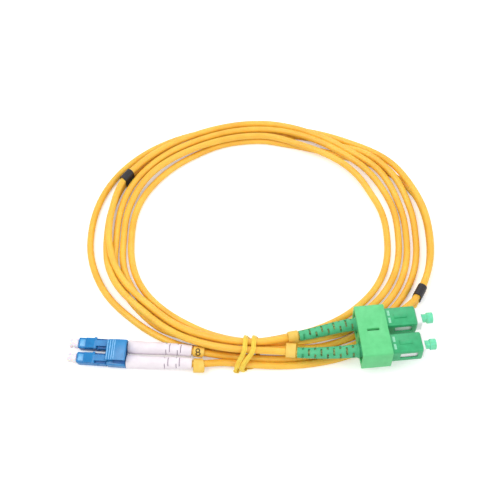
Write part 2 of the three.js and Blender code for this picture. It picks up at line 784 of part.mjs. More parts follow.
function smallTrigger() {
  const [front, back] = trigger.at;
  const [ribs, nose] = [trigger.ribAt, trigger.ribAt[2] + 1];
  const plate = profileBar([
    [front, trigger.bottom], [back, trigger.bottom], [back, trigger.top], [nose, trigger.top],
    [front + trigger.noseDrop, trigger.top - trigger.noseDrop / 4],
    [front, trigger.bottom + trigger.noseDrop / 2],
  ], trigger.half);
  const bars = ribs.map((u) => block(
    [u - trigger.ribWide / 2, u + trigger.ribWide / 2],
    [-trigger.half + fit, trigger.half - fit],
    [trigger.bottom + sunk, trigger.ribTop],
  ));
  const knuckle = block(
    trigger.knuckleAt,
    [-trigger.knuckleHalf, trigger.knuckleHalf],
    [smallClip.top + fit, trigger.bottom + sunk],
  );
  return fused(plate, ...bars, knuckle);
}

function smallClipGeometry() {
  const roof = small.height / 2 + fit;
  const plate = block(smallClip.at, [-smallClip.half, smallClip.half], [roof, smallClip.top]);
  const web = block(
    smallClip.at, [-smallClip.webHalf, smallClip.webHalf], [-small.height / 2, roof + sunk],
  );
  return fused(plate, web);
}

add("lc_clip", smallClipGeometry(), materials.blue, smallPlace);
add("lc_trigger", smallTrigger(), materials.blue, smallPlace);
smallV.forEach((v, i) => {
  const n = i + 1;
  const matrix = shifted(smallPlace, 0, v);
  add(`lc_housing_${n}`, smallHousing(), materials.blue, matrix);
  add(`lc_latch_${n}`, smallLatch(), materials.blue, matrix);
  add(`lc_body_${n}`, smallBody(), materials.blue, matrix);
  addInnards("lc", n, small, matrix);
  const head = [[small.capFront, small.capR], [-fit, small.capR]];
  const cap = capGeometry(
    head, small.capStemR, small.capStemEnd, small.capBoreR, small.ferruleAt[0] - endGap,
  );
  add(`lc_cap_${n}`, cap, materials.pale, matrix);
  const stations = [smallLegOne, smallLegTwo][i];
  const way = bootRoute(small, smallPlace, v, i);
  const run = freeRun(way, stations, true);
  add(`lc_boot_${n}`, bootGeometry(small, way, small.bootGrooves), materials.pale);
  addCord(`lc_marker_${n}`, markerGeometry(run, i), materials.marker);
  const leg = tube(legPoints(small, way, run, stations, true), cableR, cableSides);
  addCord(`lc_leg_${n}`, leg, materials.cable);
});

// --- Push-pull plug pair ---

const largePlace = placement(large);
const largeV = [-large.pitch / 2, large.pitch / 2];

function largeGrip() {
  const length = large.gripLength;
  const bar = nosedBar(
    [0, length], large.gripWidth, large.gripHeight, large.gripCorner, large.gripChamfer,
  );
  const cavity = drawn(
    [-1, length + 1],
    roundedOutline(large.cavityWidth, large.cavityHeight, large.gripCorner / 2, 1),
  );
  const key = block(
    large.keyAt,
    [-large.keyHalf, large.keyHalf],
    [large.gripHeight / 2 - sunk, large.keyTop],
  );
  const window = block(large.windowAt, [-large.gripWidth, large.gripWidth], large.windowSpan);
  return cutFrom(fused(bar, key), cavity, window);
}

function largeFrame() {
  return drawn(
    large.frameAt,
    roundedOutline(large.frameWidth, large.frameHeight, large.frameCorner, 1),
    [circleOutline(large.frameBoreR)],
  );
}

function largeBackbone() {
  const [front, back] = large.blockAt;
  const core = drawn(
    large.blockAt, roundedOutline(large.blockWidth, large.blockHeight, large.frameCorner, 1),
  );
  const barrel = rod([large.barrelFront, front + sunk], large.barrelR);
  const post = rod([back - sunk, large.postEnd], large.postR);
  const bore = rod([large.barrelFront - 1, large.postEnd + 1], large.fibreBoreR, smallSides);
  return cutFrom(fused(core, barrel, post), bore);
}

function largeClipGeometry() {
  const pocketWidth = large.gripWidth + 2 * fit;
  const pocketHeight = large.gripHeight + 2 * fit;
  const width = large.pitch + pocketWidth + 2 * largeClip.sideWall;
  const height = pocketHeight + 2 * largeClip.topWall;
  const pockets = largeV.map((v) => roundedOutline(pocketWidth, pocketHeight, large.gripCorner, 1)
    .map((point) => point.clone().add(new THREE.Vector2(v, 0))));
  const bar = drawn(largeClip.at, roundedOutline(width, height, largeClip.corner, 3), pockets);
  const slot = block(
    largeClip.slotAt,
    [-largeClip.slotHalf, largeClip.slotHalf],
    [height / 2 - largeClip.slotDepth, height],
  );
  return cutFrom(bar, slot);
}

add("sc_clip", largeClipGeometry(), materials.lightGreen, largePlace);
largeV.forEach((v, i) => {
  const n = i + 1;
  const shift = large.coreShift[i];
  add(`sc_grip_${n}`, largeGrip(), materials.green, shifted(largePlace, 0, v));
  const matrix = shifted(largePlace, shift, v);
  add(`sc_frame_${n}`, largeFrame(), materials.white, matrix);
  add(`sc_backbone_${n}`, largeBackbone(), materials.white, matrix);
  addInnards("sc", n, large, matrix);
  const face = large.frameAt[0];
  const rim = face - large.capLength + large.capRimLength;
  const head = [
    [face - large.capLength, large.capRimR], [rim, large.capRimR], [rim, large.capR],
    [face - fit, large.capR],
  ];
  const cap = capGeometry(
    head, large.capStemR, large.capStemEnd, large.capBoreR, large.ferruleAt[0] - endGap,
  );
  add(`sc_cap_${n}`, cap, materials.capGreen, matrix);
  const stations = [largeLegOne, largeLegTwo][i];
  const core = shifted(largePlace, shift, 0);
  const way = bootRoute(large, core, v, i);
  const run = freeRun(way, stations, false);
  const grooves = Array.from(
    { length: large.bootGrooveCount },
    (_, k) => large.bootGrooveFirst + k * large.bootGrooveStep,
  );
  const collar = large.bootRingAt.map((u) => u - large.bootAt[0]);
  add(`sc_boot_${n}`, bootGeometry(large, way, grooves, collar), materials.green);
  addCord(`sc_marker_${n}`, markerGeometry(run, i), materials.marker);
  const leg = tube(legPoints(large, way, run, stations, false), cableR, cableSides);
  addCord(`sc_leg_${n}`, leg, materials.cable);
});

// --- Twist tie ---

const tieSection = new THREE.CatmullRomCurve3(
  tieLoop.map(([y, z]) => new THREE.Vector3(0, y, z)), true, "centripetal",
);

function tiePoints() {
  const count = tieWraps * tieSteps;
  const [from, to] = tieSpan;
  const around = Array.from({ length: count + 1 }, (_, i) => {
    const point = tieSection.getPointAt((i / tieSteps) % 1);
    return point.setX(from + ((to - from) * i) / count);
  });
  const asPoints = (ends) => ends.map((end) => new THREE.Vector3(...end));
  return [...asPoints(tieFirstEnd), ...around, ...asPoints(tieLastEnd)];
}
addCord("twist_tie", tube(tiePoints(), tieR, cableSides, alongAxis), materials.tie);

// --- Origin: under the middle of the plugs ---

const plugBox = new THREE.Box3();
root.children
  .filter((mesh) => !cordNames.includes(mesh.name))
  .forEach((mesh) => plugBox.expandByObject(mesh));
const middle = plugBox.getCenter(new THREE.Vector3());
const origin = new THREE.Vector3(middle.x, middle.y, plugBox.min.z);
root.children.forEach((mesh) => mesh.geometry.translate(-origin.x, -origin.y, -origin.z));
console.log(`origin in the drawing: ${origin.toArray().map((value) => value.toFixed(5)).join(", ")}`);

export default root;
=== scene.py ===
# Duplex fibre patch cord, coiled and tied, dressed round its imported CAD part. Blender 4.5.
# Sizes are in millimetres in the drawing and in each plug's own u, v, w, and become metres
# when a piece is settled in the part's frame.
import math

import bpy
from mathutils import Matrix, Vector


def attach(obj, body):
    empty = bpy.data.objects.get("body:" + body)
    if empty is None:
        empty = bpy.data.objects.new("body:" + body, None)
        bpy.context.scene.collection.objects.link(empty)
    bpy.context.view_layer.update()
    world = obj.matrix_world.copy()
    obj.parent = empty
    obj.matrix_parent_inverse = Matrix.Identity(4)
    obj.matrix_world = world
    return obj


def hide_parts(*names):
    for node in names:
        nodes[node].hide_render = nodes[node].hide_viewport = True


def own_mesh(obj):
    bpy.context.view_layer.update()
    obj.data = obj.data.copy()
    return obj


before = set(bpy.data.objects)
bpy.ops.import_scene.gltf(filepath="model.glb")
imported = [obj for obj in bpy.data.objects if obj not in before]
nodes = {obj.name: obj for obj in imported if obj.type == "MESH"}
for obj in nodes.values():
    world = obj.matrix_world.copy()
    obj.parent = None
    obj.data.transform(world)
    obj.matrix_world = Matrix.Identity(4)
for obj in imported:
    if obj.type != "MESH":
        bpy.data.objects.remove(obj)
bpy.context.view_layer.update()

mm = 0.001
drawingOrigin = Vector((-0.01524, -47.55462, -0.00041))  # the part's origin in the drawing
upAxis = Vector((0, 0, 1))


def inPart(point):  # a point of the drawing as metres in the part's frame
    return (Vector(point) - drawingOrigin) * mm


camera = {
    "lens": 67.25,
    "sensor": 36,
    "distance": 420,
    "elevation": 60,
    "target": (0, 0, 0),  # the table point at the middle of the picture, in the drawing
    "clipStart": 0.01,
}
lamps = {
    "key": {"at": (-260, -120, 620), "size": 0.5, "power": 1.9, "tint": "#FFFDF8"},
    "fill": {"at": (420, -180, 420), "size": 0.45, "power": 0.7, "tint": "#FAFCFF"},
    "back": {"at": (60, 460, 380), "size": 0.4, "power": 0.6, "tint": "#FFFFFF"},
}
room = {
    "skyLevel": 0.62,
    "floorHex": "#FDFDFD",
    "floorGlow": 0.32,
    "floorHalf": 3,
    "paleFrom": 0.16,  # the card turns plain white away from the object, from here in metres
    "paleTo": 0.6,
}
white = (1, 1, 1, 1)


def hexToLinear(text):
    channels = [int(text[i : i + 2], 16) / 255 for i in (1, 3, 5)]
    linear = [c / 12.92 if c <= 0.04045 else ((c + 0.055) / 1.055) ** 2.4 for c in channels]
    return (*linear, 1)


def addNode(tree, kind, settings=None, links=None):
    node = tree.nodes.new(kind)
    for name, value in (settings or {}).items():
        if name in node.inputs:
            node.inputs[name].default_value = value
        else:
            setattr(node, name, value)
    for name, socket in (links or {}).items():
        tree.links.new(socket, node.inputs[name])
    return node


def newMaterial(name):
    material = bpy.data.materials.new(name)
    material.use_nodes = True
    tree = material.node_tree
    tree.nodes.clear()
    return material, tree, addNode(tree, "ShaderNodeTexCoord")


def aimed(place, target):
    return (Vector(target) - Vector(place)).to_track_quat("-Z", "Y").to_euler()


def makeCamera():
    lift = math.radians(camera["elevation"])
    target = Vector(camera["target"])
    away = Vector((0, -math.cos(lift), math.sin(lift))) * camera["distance"]
    place, aim = inPart(target + away), inPart(target)
    bpy.ops.object.camera_add(location=place, rotation=aimed(place, aim))
    taken = bpy.context.object
    taken.data.lens = camera["lens"]
    taken.data.sensor_width = camera["sensor"]
    taken.data.clip_start = camera["clipStart"]
    bpy.context.scene.camera = taken


def makeLamps():
    for name, lamp in lamps.items():
        place = inPart(lamp["at"])
        bpy.ops.object.light_add(
            type="AREA", location=place, rotation=aimed(place, inPart((0, 0, 0)))
        )
        made = bpy.context.object
        made.name = "lamp_" + name
        made.data.shape = "DISK"
        made.data.size = lamp["size"]
        made.data.energy = lamp["power"]
        made.data.color = hexToLinear(lamp["tint"])[:3]


def makeSky():
    world = bpy.data.worlds.new("studio")
    bpy.context.scene.world = world
    world.use_nodes = True
    tree = world.node_tree
    tree.nodes.clear()
    path = addNode(tree, "ShaderNodeLightPath")
    rays = {0: path.outputs["Is Camera Ray"], 1: path.outputs["Is Glossy Ray"]}
    seen = addNode(tree, "ShaderNodeMath", {"operation": "MAXIMUM"}, rays)
    lit = addNode(tree, "ShaderNodeBackground", {"Color": white, "Strength": room["skyLevel"]})
    plain = addNode(tree, "ShaderNodeBackground", {"Color": white, "Strength": 1})
    shares = {0: seen.outputs[0], 1: lit.outputs[0], 2: plain.outputs[0]}
    mixed = addNode(tree, "ShaderNodeMixShader", links=shares)
    addNode(tree, "ShaderNodeOutputWorld", links={"Surface": mixed.outputs[0]})


def makeFloor():
    # matt card, a little brighter to the camera
    material, tree, place = newMaterial("white_card")
    path = addNode(tree, "ShaderNodeLightPath")
    colour = hexToLinear(room["floorHex"])
    card = addNode(tree, "ShaderNodeBsdfDiffuse", {"Color": colour})
    spot = {0: place.outputs["Object"]}
    away = addNode(tree, "ShaderNodeVectorMath", {"operation": "LENGTH"}, spot)
    pale = {"From Min": room["paleFrom"], "From Max": room["paleTo"], "To Min": room["floorGlow"]}
    rising = addNode(tree, "ShaderNodeMapRange", pale, {"Value": away.outputs["Value"]})
    level = {"Strength": rising.outputs["Result"]}
    glow = addNode(tree, "ShaderNodeEmission", {"Color": colour}, level)
    both = addNode(tree, "ShaderNodeAddShader", links={0: card.outputs[0], 1: glow.outputs[0]})
    shares = {0: path.outputs["Is Camera Ray"], 1: card.outputs[0], 2: both.outputs[0]}
    mixed = addNode(tree, "ShaderNodeMixShader", links=shares)
    addNode(tree, "ShaderNodeOutputMaterial", links={"Surface": mixed.outputs[0]})
    bpy.ops.mesh.primitive_plane_add(size=2 * room["floorHalf"], location=(0, 0, 0))
    floor = bpy.context.object
    floor.name = "floor"
    floor.data.materials.append(material)


bpy.context.scene.view_settings.view_transform = "Standard"
makeCamera()
makeLamps()
makeSky()
makeFloor()
print("stage set")

# The cables' route, as in the part's source.

cable = {
    "radius": 1.5,
    "sides": 16,
    "step": 3,  # degrees of the coil between two points
    "leastGap": 0.8,
    "crimpSteps": 4,
    "bootSteps": 14,
    "freeSteps": 8,
    "joinAim": 2,  # degrees along the coil that a leg's end aims at
}
coil = {"centre": (4.5, 5.3), "halfWidth": 76.3, "halfDepth": 61.9, "roundness": 2.2}
low, mid, high = 1.6, 5.05, 8.5  # centreline on the table, on one cable, on two
tieLift, sleeveLift = 1.3, 0.6
ringStart, ringEnd, turns, fullTurn = -26.5, 147.15, 2, 360
tieAt = 266
coilEnd = ringEnd + turns * fullTurn

# Weave of the cables: (angle, inset from the outermost lane, height).
strandOne = [
    (ringStart, 0.4, mid + sleeveLift), (-10, 0.2, mid), (10, 0.5, mid), (25, 0.9, mid),
    (36, 0.5, mid), (60, 0.2, low), (90, 0.1, low), (135, 0, low), (180, 0, low),
    (205, 1.9, low), (225, 3.8, low), (243, 3.8, low), (254, 4.8, low + 0.5),
    (tieAt, 6.6, low + tieLift), (278, 8.6, low + 0.4), (290, 10.2, low), (305, 12, low),
    (318, 12.9, low), (fullTurn, 13.9, low), (383, 12.4, low), (408, 10.4, mid),
    (450, 3.4, mid), (480, 6.9, mid), (507, 9.5, 4.1), (540, 11.6, low), (558, 10.1, low),
    (582, 8.5, low), (593, 7.4, low), (602, 7.3, 3.4), (612, 6.6, mid + 0.5),
    (tieAt + fullTurn, 5, mid + tieLift), (638, 5.3, mid + 0.4), (653, 5.6, low),
    (665, 5.4, low), (678, 5.7, low), (720, 6.1, low), (736, 5.3, low), (756, 4.1, mid),
    (766, 3.7, mid), (780, 3.7, low), (830, 4.2, low), (853, 5, low + 0.2),
    (coilEnd, 5.4, low + sleeveLift),
]
strandTwo = [
    (ringStart, 0.4, low + sleeveLift), (-14, 0.1, low), (18, 0, low), (40, 4.2, low),
    (55, 8.4, low), (66, 9.8, low), (78, 9.2, low), (90, 7.6, low), (102, 8.4, low),
    (120, 12.2, low), (147, 16.3, low), (180, 18.4, low), (220, 15.8, low),
    (235, 14.4, low), (243, 13.4, low), (252, 11.8, low + 0.4), (tieAt, 10.1, low + tieLift),
    (282, 12.7, low + 0.3), (290, 13.6, low), (305, 15.3, low), (318, 16.7, low),
    (fullTurn, 19, low), (388, 17.8, low), (405, 15.4, 4), (414, 14.1, mid), (432, 11, mid),
    (450, 7.1, mid), (480, 10.4, mid), (497, 12.1, mid), (520, 13.9, low + 0.9),
    (540, 14.9, low), (560, 13.5, low), (580, 12.2, low), (593, 10.9, low),
    (602, 10.3, 3.4), (612, 9.7, mid + 0.5), (tieAt + fullTurn, 8.3, mid + tieLift),
    (642, 8.1, mid), (650, 8.1, mid), (665, 8.7, low), (678, 9.2, low), (720, 10.3, low),
    (738, 9.4, low), (762, 7.2, mid), (772, 6.9, mid), (784, 4.6, mid), (810, 0, mid),
    (840, 3.3, mid + 0.1), (coilEnd, 5.4, mid + sleeveLift),
]
largeLegs = [
    [
        (ringEnd, 5.4, mid + sleeveLift), (165, 7.6, mid + 0.1), (180, 8.6, mid),
        (207, 11, mid), (222, 12.1, mid), (235, 10.8, mid), (250, 7.9, high + 0.4),
        (tieAt, 6.9, high + tieLift),
    ],
    [
        (ringEnd, 5.4, low + sleeveLift), (165, 6.7, low + 0.2), (180, 7.3, low),
        (186, 7.3, low), (203, 7.4, mid), (222, 8.6, mid), (235, 7.3, mid),
        (250, 4.4, high + 0.4), (tieAt, 3.4, high + tieLift),
    ],
]
smallLegs = [
    [
        (260, 2.9, low + tieLift + 0.2), (tieAt, 2.8, low + tieLift), (276, 2.5, low + 0.4),
        (289, 2.1, low), (296, 1.9, low), (303, 2, low), (312, 2.2, low), (321, 2.1, 4.3),
        (329, 0.4, mid + 0.3), (ringStart + fullTurn, 0.4, mid + sleeveLift),
    ],
    [
        (260, -0.1, low + tieLift + 0.2), (tieAt, -0.2, low + tieLift),
        (276, -0.6, low + 0.4), (289, -1.1, low), (296, -1.4, low), (306, -1.3, low),
        (316, -1, low), (325, -0.2, low), (ringStart + fullTurn, 0.4, low + sleeveLift),
    ],
]

# The two plug pairs: where they lie, and what the cables and boots take from them.
small = {
    "front": (-71.96, -50.7, 3.037), "yaw": -5, "tilt": 2.5, "roll": 9,
    "acrossAt": (3.125, -3.125), "coreShift": (0, 0),
    "bootFrom": 21, "bootR": (2.85, 2.35), "crimpEnd": 27.2, "postEnd": 25.5,
    "bootEnds": ((-24.16, -51.9, 5.75), (-24.05, -57.2, 4.8)),
    "bootAims": ((1, -0.13, -0.03), (1, -0.06, -0.06)),
    "slots": (16, 17.5, 20.8, 22.1), "collar": None,
    "slotFaces": (((90, 62), (-90, 62)), ((0, 62), (180, 62))),  # (degrees, half angle)
    "slotFaceTurn": (0, 0), "slotDeep": 0.45, "slotWide": 0.4, "slotPaintedShade": "pale_shade",
    "bootFinish": "white_tpe", "bootSlot": "white_boot",
}
large = {
    "front": (69.86, -45.7, 11.1), "yaw": 185.5, "tilt": 0, "roll": 6.5,
    "acrossAt": (-6.35, 6.35), "coreShift": (-1.3, 0),
    "bootFrom": 19.3, "bootR": (2.9, 2.15), "crimpEnd": 25.7, "postEnd": 24,
    "bootEnds": ((20.4, -46.9, 9.9), (19.4, -54.4, 9.9)),
    "bootAims": ((-1, -0.16, -0.03), (-1, 0.08, -0.03)),
    "slots": tuple(8.7 + 2.57 * k for k in range(9)), "collar": (6.4, 7.6, 3.08),
    "slotFaces": (((30, 24), (-73, 34), (150, 30)), ((-17, 42), (163, 42))),
    "slotFaceTurn": (25, 0), "slotDeep": 0.6, "slotWide": 0.8, "slotPaintedShade": "slot_shade_and_glint",
    "bootFinish": "green_tpe", "bootSlot": "green_boot",
}
plugs = [(kind, pair, i) for kind, pair in (("lc", small), ("sc", large)) for i in (0, 1)]
endGap, fit = 0.3, 0.15


def cubic(start, stop, leaving, arriving, t):  # between two ends, with a slope at each
    return (
        start * (2 * t**3 - 3 * t**2 + 1) + leaving * (t**3 - 2 * t**2 + t)
        + stop * (3 * t**2 - 2 * t**3) + arriving * (t**3 - t**2)
    )


def between(stations, angle, column):  # smooth between the stations, with no overshoot
    last = len(stations) - 1
    i = next((k for k, station in enumerate(stations) if station[0] >= angle), last)
    i = max(i, 1)

    def slope(k):
        rise = stations[k][column] - stations[k - 1][column]
        return rise / (stations[k][0] - stations[k - 1][0])

    def tangent(k):
        if k in (0, last):
            return 0
        before, after = slope(k), slope(k + 1)
        return 0 if before * after <= 0 else 2 * before * after / (before + after)

    start, stop = stations[i - 1], stations[i]
    span = stop[0] - start[0]
    t = min(max((angle - start[0]) / span, 0), 1)
    return cubic(start[column], stop[column], span * tangent(i - 1), span * tangent(i), t)


def onCoil(stations, angle):
    c, s = math.cos(math.radians(angle)), math.sin(math.radians(angle))
    power = coil["roundness"]
    reach = (abs(c) ** power + abs(s) ** power) ** (-1 / power)
    inset = between(stations, angle, 1)
    return Vector((
        coil["centre"][0] + (coil["halfWidth"] - inset) * reach * c,
        coil["centre"][1] + (coil["halfDepth"] - inset) * reach * s,
        between(stations, angle, 2),
    ))


def woven(stations, start, stop):
    count = math.ceil((stop - start) / cable["step"])
    return [onCoil(stations, start + (stop - start) * i / count) for i in range(count + 1)]


def bezier(points, count):
    a, b, c, d = points
    made = []
    for i in range(count + 1):
        t = i / count
        s = 1 - t
        made.append(a * s**3 + b * 3 * s * s * t + c * 3 * s * t * t + d * t**3)
    return made


def pairMatrix(pair, shift=0, across=0):  # from a plug's own u, v, w to the part's frame
    turn = (
        Matrix.Rotation(math.radians(pair["yaw"]), 4, "Z")
        @ Matrix.Rotation(-math.radians(pair["tilt"]), 4, "Y")
        @ Matrix.Rotation(math.radians(pair["roll"]), 4, "X")
    )
    place = Matrix.Translation(inPart(pair["front"]))
    return place @ turn @ Matrix.Scale(mm, 4) @ Matrix.Translation((shift, across, 0))


def coreMatrix(pair, i):
    return pairMatrix(pair, pair["coreShift"][i], pair["acrossAt"][i])


def bootRoute(pair, i):  # the cable's way through its boot, from the boot's front, in the drawing
    matrix = coreMatrix(pair, i)
    start, bend = [
        (matrix @ Vector((u, 0, 0))) / mm + drawingOrigin
        for u in (pair["bootFrom"], pair["crimpEnd"] + endGap)
    ]
    end = Vector(pair["bootEnds"][i])
    out = (bend - start).normalized()
    aim = Vector(pair["bootAims"][i]).normalized()
    hold = (end - bend).length / 3
    curve = bezier([bend, bend + out * hold, end - aim * hold, end], cable["bootSteps"])
    count = cable["crimpSteps"]
    return [start.lerp(bend, k / count) for k in range(count)] + curve, aim


def distances(points):  # how far along a route each of its points lies
    walked = [0]
    for a, b in zip(points, points[1:]):
        walked.append(walked[-1] + (b - a).length)
    return walked


def spanAt(walked, way):  # the span that a distance falls in, and how far along that span
    i = max(k for k in range(len(walked) - 1) if walked[k] <= way)
    return i, (way - walked[i]) / (walked[i + 1] - walked[i])


def cutShort(points, skip):  # a route without its first few millimetres
    i, share = spanAt(distances(points), skip)
    return [points[i].lerp(points[i + 1], share), *points[i + 1 :]]


def runTo(end, aim, join, inward):  # the free run between a boot and the coil
    hold = (end - join).length / 3
    toward = (inward - join).normalized()
    return bezier([end, end + aim * hold, join - toward * hold, join], cable["freeSteps"])


def plugToCoil(pair, i, stations, atStart):
    boot, aim = bootRoute(pair, i)
    inside = cutShort(boot, pair["postEnd"] + endGap - pair["bootFrom"])
    angle = stations[0][0] if atStart else stations[-1][0]
    join = onCoil(stations, angle)
    inward = onCoil(stations, angle + cable["joinAim"] * (1 if atStart else -1))
    free = runTo(boot[-1], aim, join, inward)
    around = woven(stations, stations[0][0], stations[-1][0])
    return inside + free[1:] + (around if atStart else around[::-1])[1:], free


def thinned(points, least):  # drops points that lie closer than a step
    kept = [points[0]]
    for point in points[1:-1]:
        if (point - kept[-1]).length >= least:
            kept.append(point)
    return [*kept, points[-1]]


# Cable 1 runs from the first small plug to the second large one, cable 2 the other way.
freeRuns = {}
cableRoutes = []
for i, strand in enumerate((strandOne, strandTwo)):
    head, freeRuns["lc", i] = plugToCoil(small, i, smallLegs[i], True)
    tail, freeRuns["sc", 1 - i] = plugToCoil(large, 1 - i, largeLegs[1 - i], False)
    loops = woven(strand, ringStart, coilEnd)
    cableRoutes.append(thinned(head + loops[1:] + tail[::-1][1:], cable["leastGap"]))


def deselect():
    if bpy.context.object and bpy.context.object.mode != "OBJECT":
        bpy.ops.object.mode_set(mode="OBJECT")
    bpy.ops.object.select_all(action="DESELECT")


def activate(obj):
    deselect()
    obj.select_set(True)
    bpy.context.view_layer.objects.active = obj


def applyModifier(obj, kind, **settings):
    activate(obj)
    made = obj.modifiers.new(kind.lower(), kind)
    for name, value in settings.items():
        setattr(made, name, value)
    bpy.ops.object.modifier_apply(modifier=made.name)


def addShape(name, operator, **size):
    deselect()
    operator(**size)
    made = bpy.context.object
    made.name = made.data.name = name
    return made


def selectAll():
    bpy.ops.mesh.select_all(action="SELECT")


def faceOutwards():
    bpy.ops.mesh.normals_make_consistent(inside=False)


def merging(within):  # a step that joins the points of a mesh that lie this close
    return lambda: bpy.ops.mesh.remove_doubles(threshold=within)


def editAll(obj, *steps):  # edit-mode steps that start with everything selected
    activate(obj)
    bpy.ops.object.mode_set(mode="EDIT")
    bpy.ops.mesh.select_mode(type="VERT")
    selectAll()
    for step in steps:
        step()
    bpy.ops.object.mode_set(mode="OBJECT")


smoothBelow = {"moulding": 32, "plate": 30, "turned": 40, "tube": 50}  # degrees between faces


def smoothed(obj, form):
    editAll(obj, faceOutwards)
    bpy.ops.object.shade_smooth_by_angle(angle=math.radians(smoothBelow[form]))


def tubeAlong(name, points, radius, sides):  # a capped tube on a route in metres
    curve = bpy.data.curves.new(name, "CURVE")
    curve.dimensions = "3D"
    curve.twist_mode = "MINIMUM"
    curve.bevel_depth = radius
    curve.bevel_resolution = sides // 2 - 2
    curve.use_fill_caps = True
    spline = curve.splines.new("POLY")
    spline.points.add(len(points) - 1)
    for slot, point in zip(spline.points, points):
        slot.co = (*point, 1)
    tube = bpy.data.objects.new(name, curve)
    bpy.context.scene.collection.objects.link(tube)
    activate(tube)
    bpy.ops.object.convert(target="MESH")
    tube = bpy.context.object
    editAll(tube, merging(1e-6))
    smoothed(tube, "tube")
    return tube


cables = []
for i, route in enumerate(cableRoutes):
    points = [inPart(point) for point in route]
    made = tubeAlong(f"cable_{i + 1}", points, cable["radius"] * mm, cable["sides"])
    length = distances(points)[-1]
    print(f"cable {i + 1}: {length:.3f} m of {2 * cable['radius']:.0f} mm cable")
    cables.append({"piece": made, "points": points, "length": length})


surfaceKinds = {
    # where in its clouds the two tints stand, and how far its roughness strays over the grain
    "plastic": {"stops": (0.32, 0.68), "glossier": 0.05, "duller": 0.06},
    "metal": {"stops": (0, 1), "glossier": 0.06, "duller": 0.08},
    "jacket": {"stops": (0.35, 0.65), "glossier": 0.05, "duller": 0.07},
}


def surfaced(material, kind, settings, shades, cloud, grain, roughness, bump=None):
    tree, form = material.node_tree, surfaceKinds[kind]
    tint = addNode(tree, "ShaderNodeValToRGB", links={"Fac": cloud.outputs["Fac"]})
    for stop, at, shade in zip(tint.color_ramp.elements, form["stops"], shades):
        stop.position, stop.color = at, hexToLinear(shade)
    sheen = {"To Min": roughness - form["glossier"], "To Max": roughness + form["duller"]}
    rough = addNode(tree, "ShaderNodeMapRange", sheen, {"Value": grain.outputs["Fac"]})
    links = {"Base Color": tint.outputs["Color"], "Roughness": rough.outputs["Result"]}
    if bump:
        links["Normal"] = bump.outputs["Normal"]
    shader = addNode(tree, "ShaderNodeBsdfPrincipled", settings, links)
    addNode(tree, "ShaderNodeOutputMaterial", links={"Surface": shader.outputs[0]})
    return material


waxyPlastics = {  # light passes into these
    "milky_ldpe": {"Subsurface Weight": 0.5, "Subsurface Scale": 1.2 * mm},
    "green_ldpe": {"Subsurface Weight": 0.4, "Subsurface Scale": 1.5 * mm},
}


def mouldedPlastic(name, facts):
    dark, light, cloudMm, grainMm, roughness, relief, ior = facts
    material, tree, place = newMaterial(name)
    spot = {"Vector": place.outputs["Object"]}
    clouds = {"Scale": 1 / (cloudMm * mm), "Detail": 3, "Roughness": 0.55}
    cloud = addNode(tree, "ShaderNodeTexNoise", clouds, spot)
    grain = addNode(tree, "ShaderNodeTexNoise", {"Scale": 1 / (grainMm * mm), "Detail": 2}, spot)
    depth = {"Strength": relief, "Distance": grainMm * mm / 3}
    bump = addNode(tree, "ShaderNodeBump", depth, {"Height": grain.outputs["Fac"]})
    settings = {"IOR": ior, **waxyPlastics.get(name, {})}
    return surfaced(material, "plastic", settings, (dark, light), cloud, grain, roughness, bump)


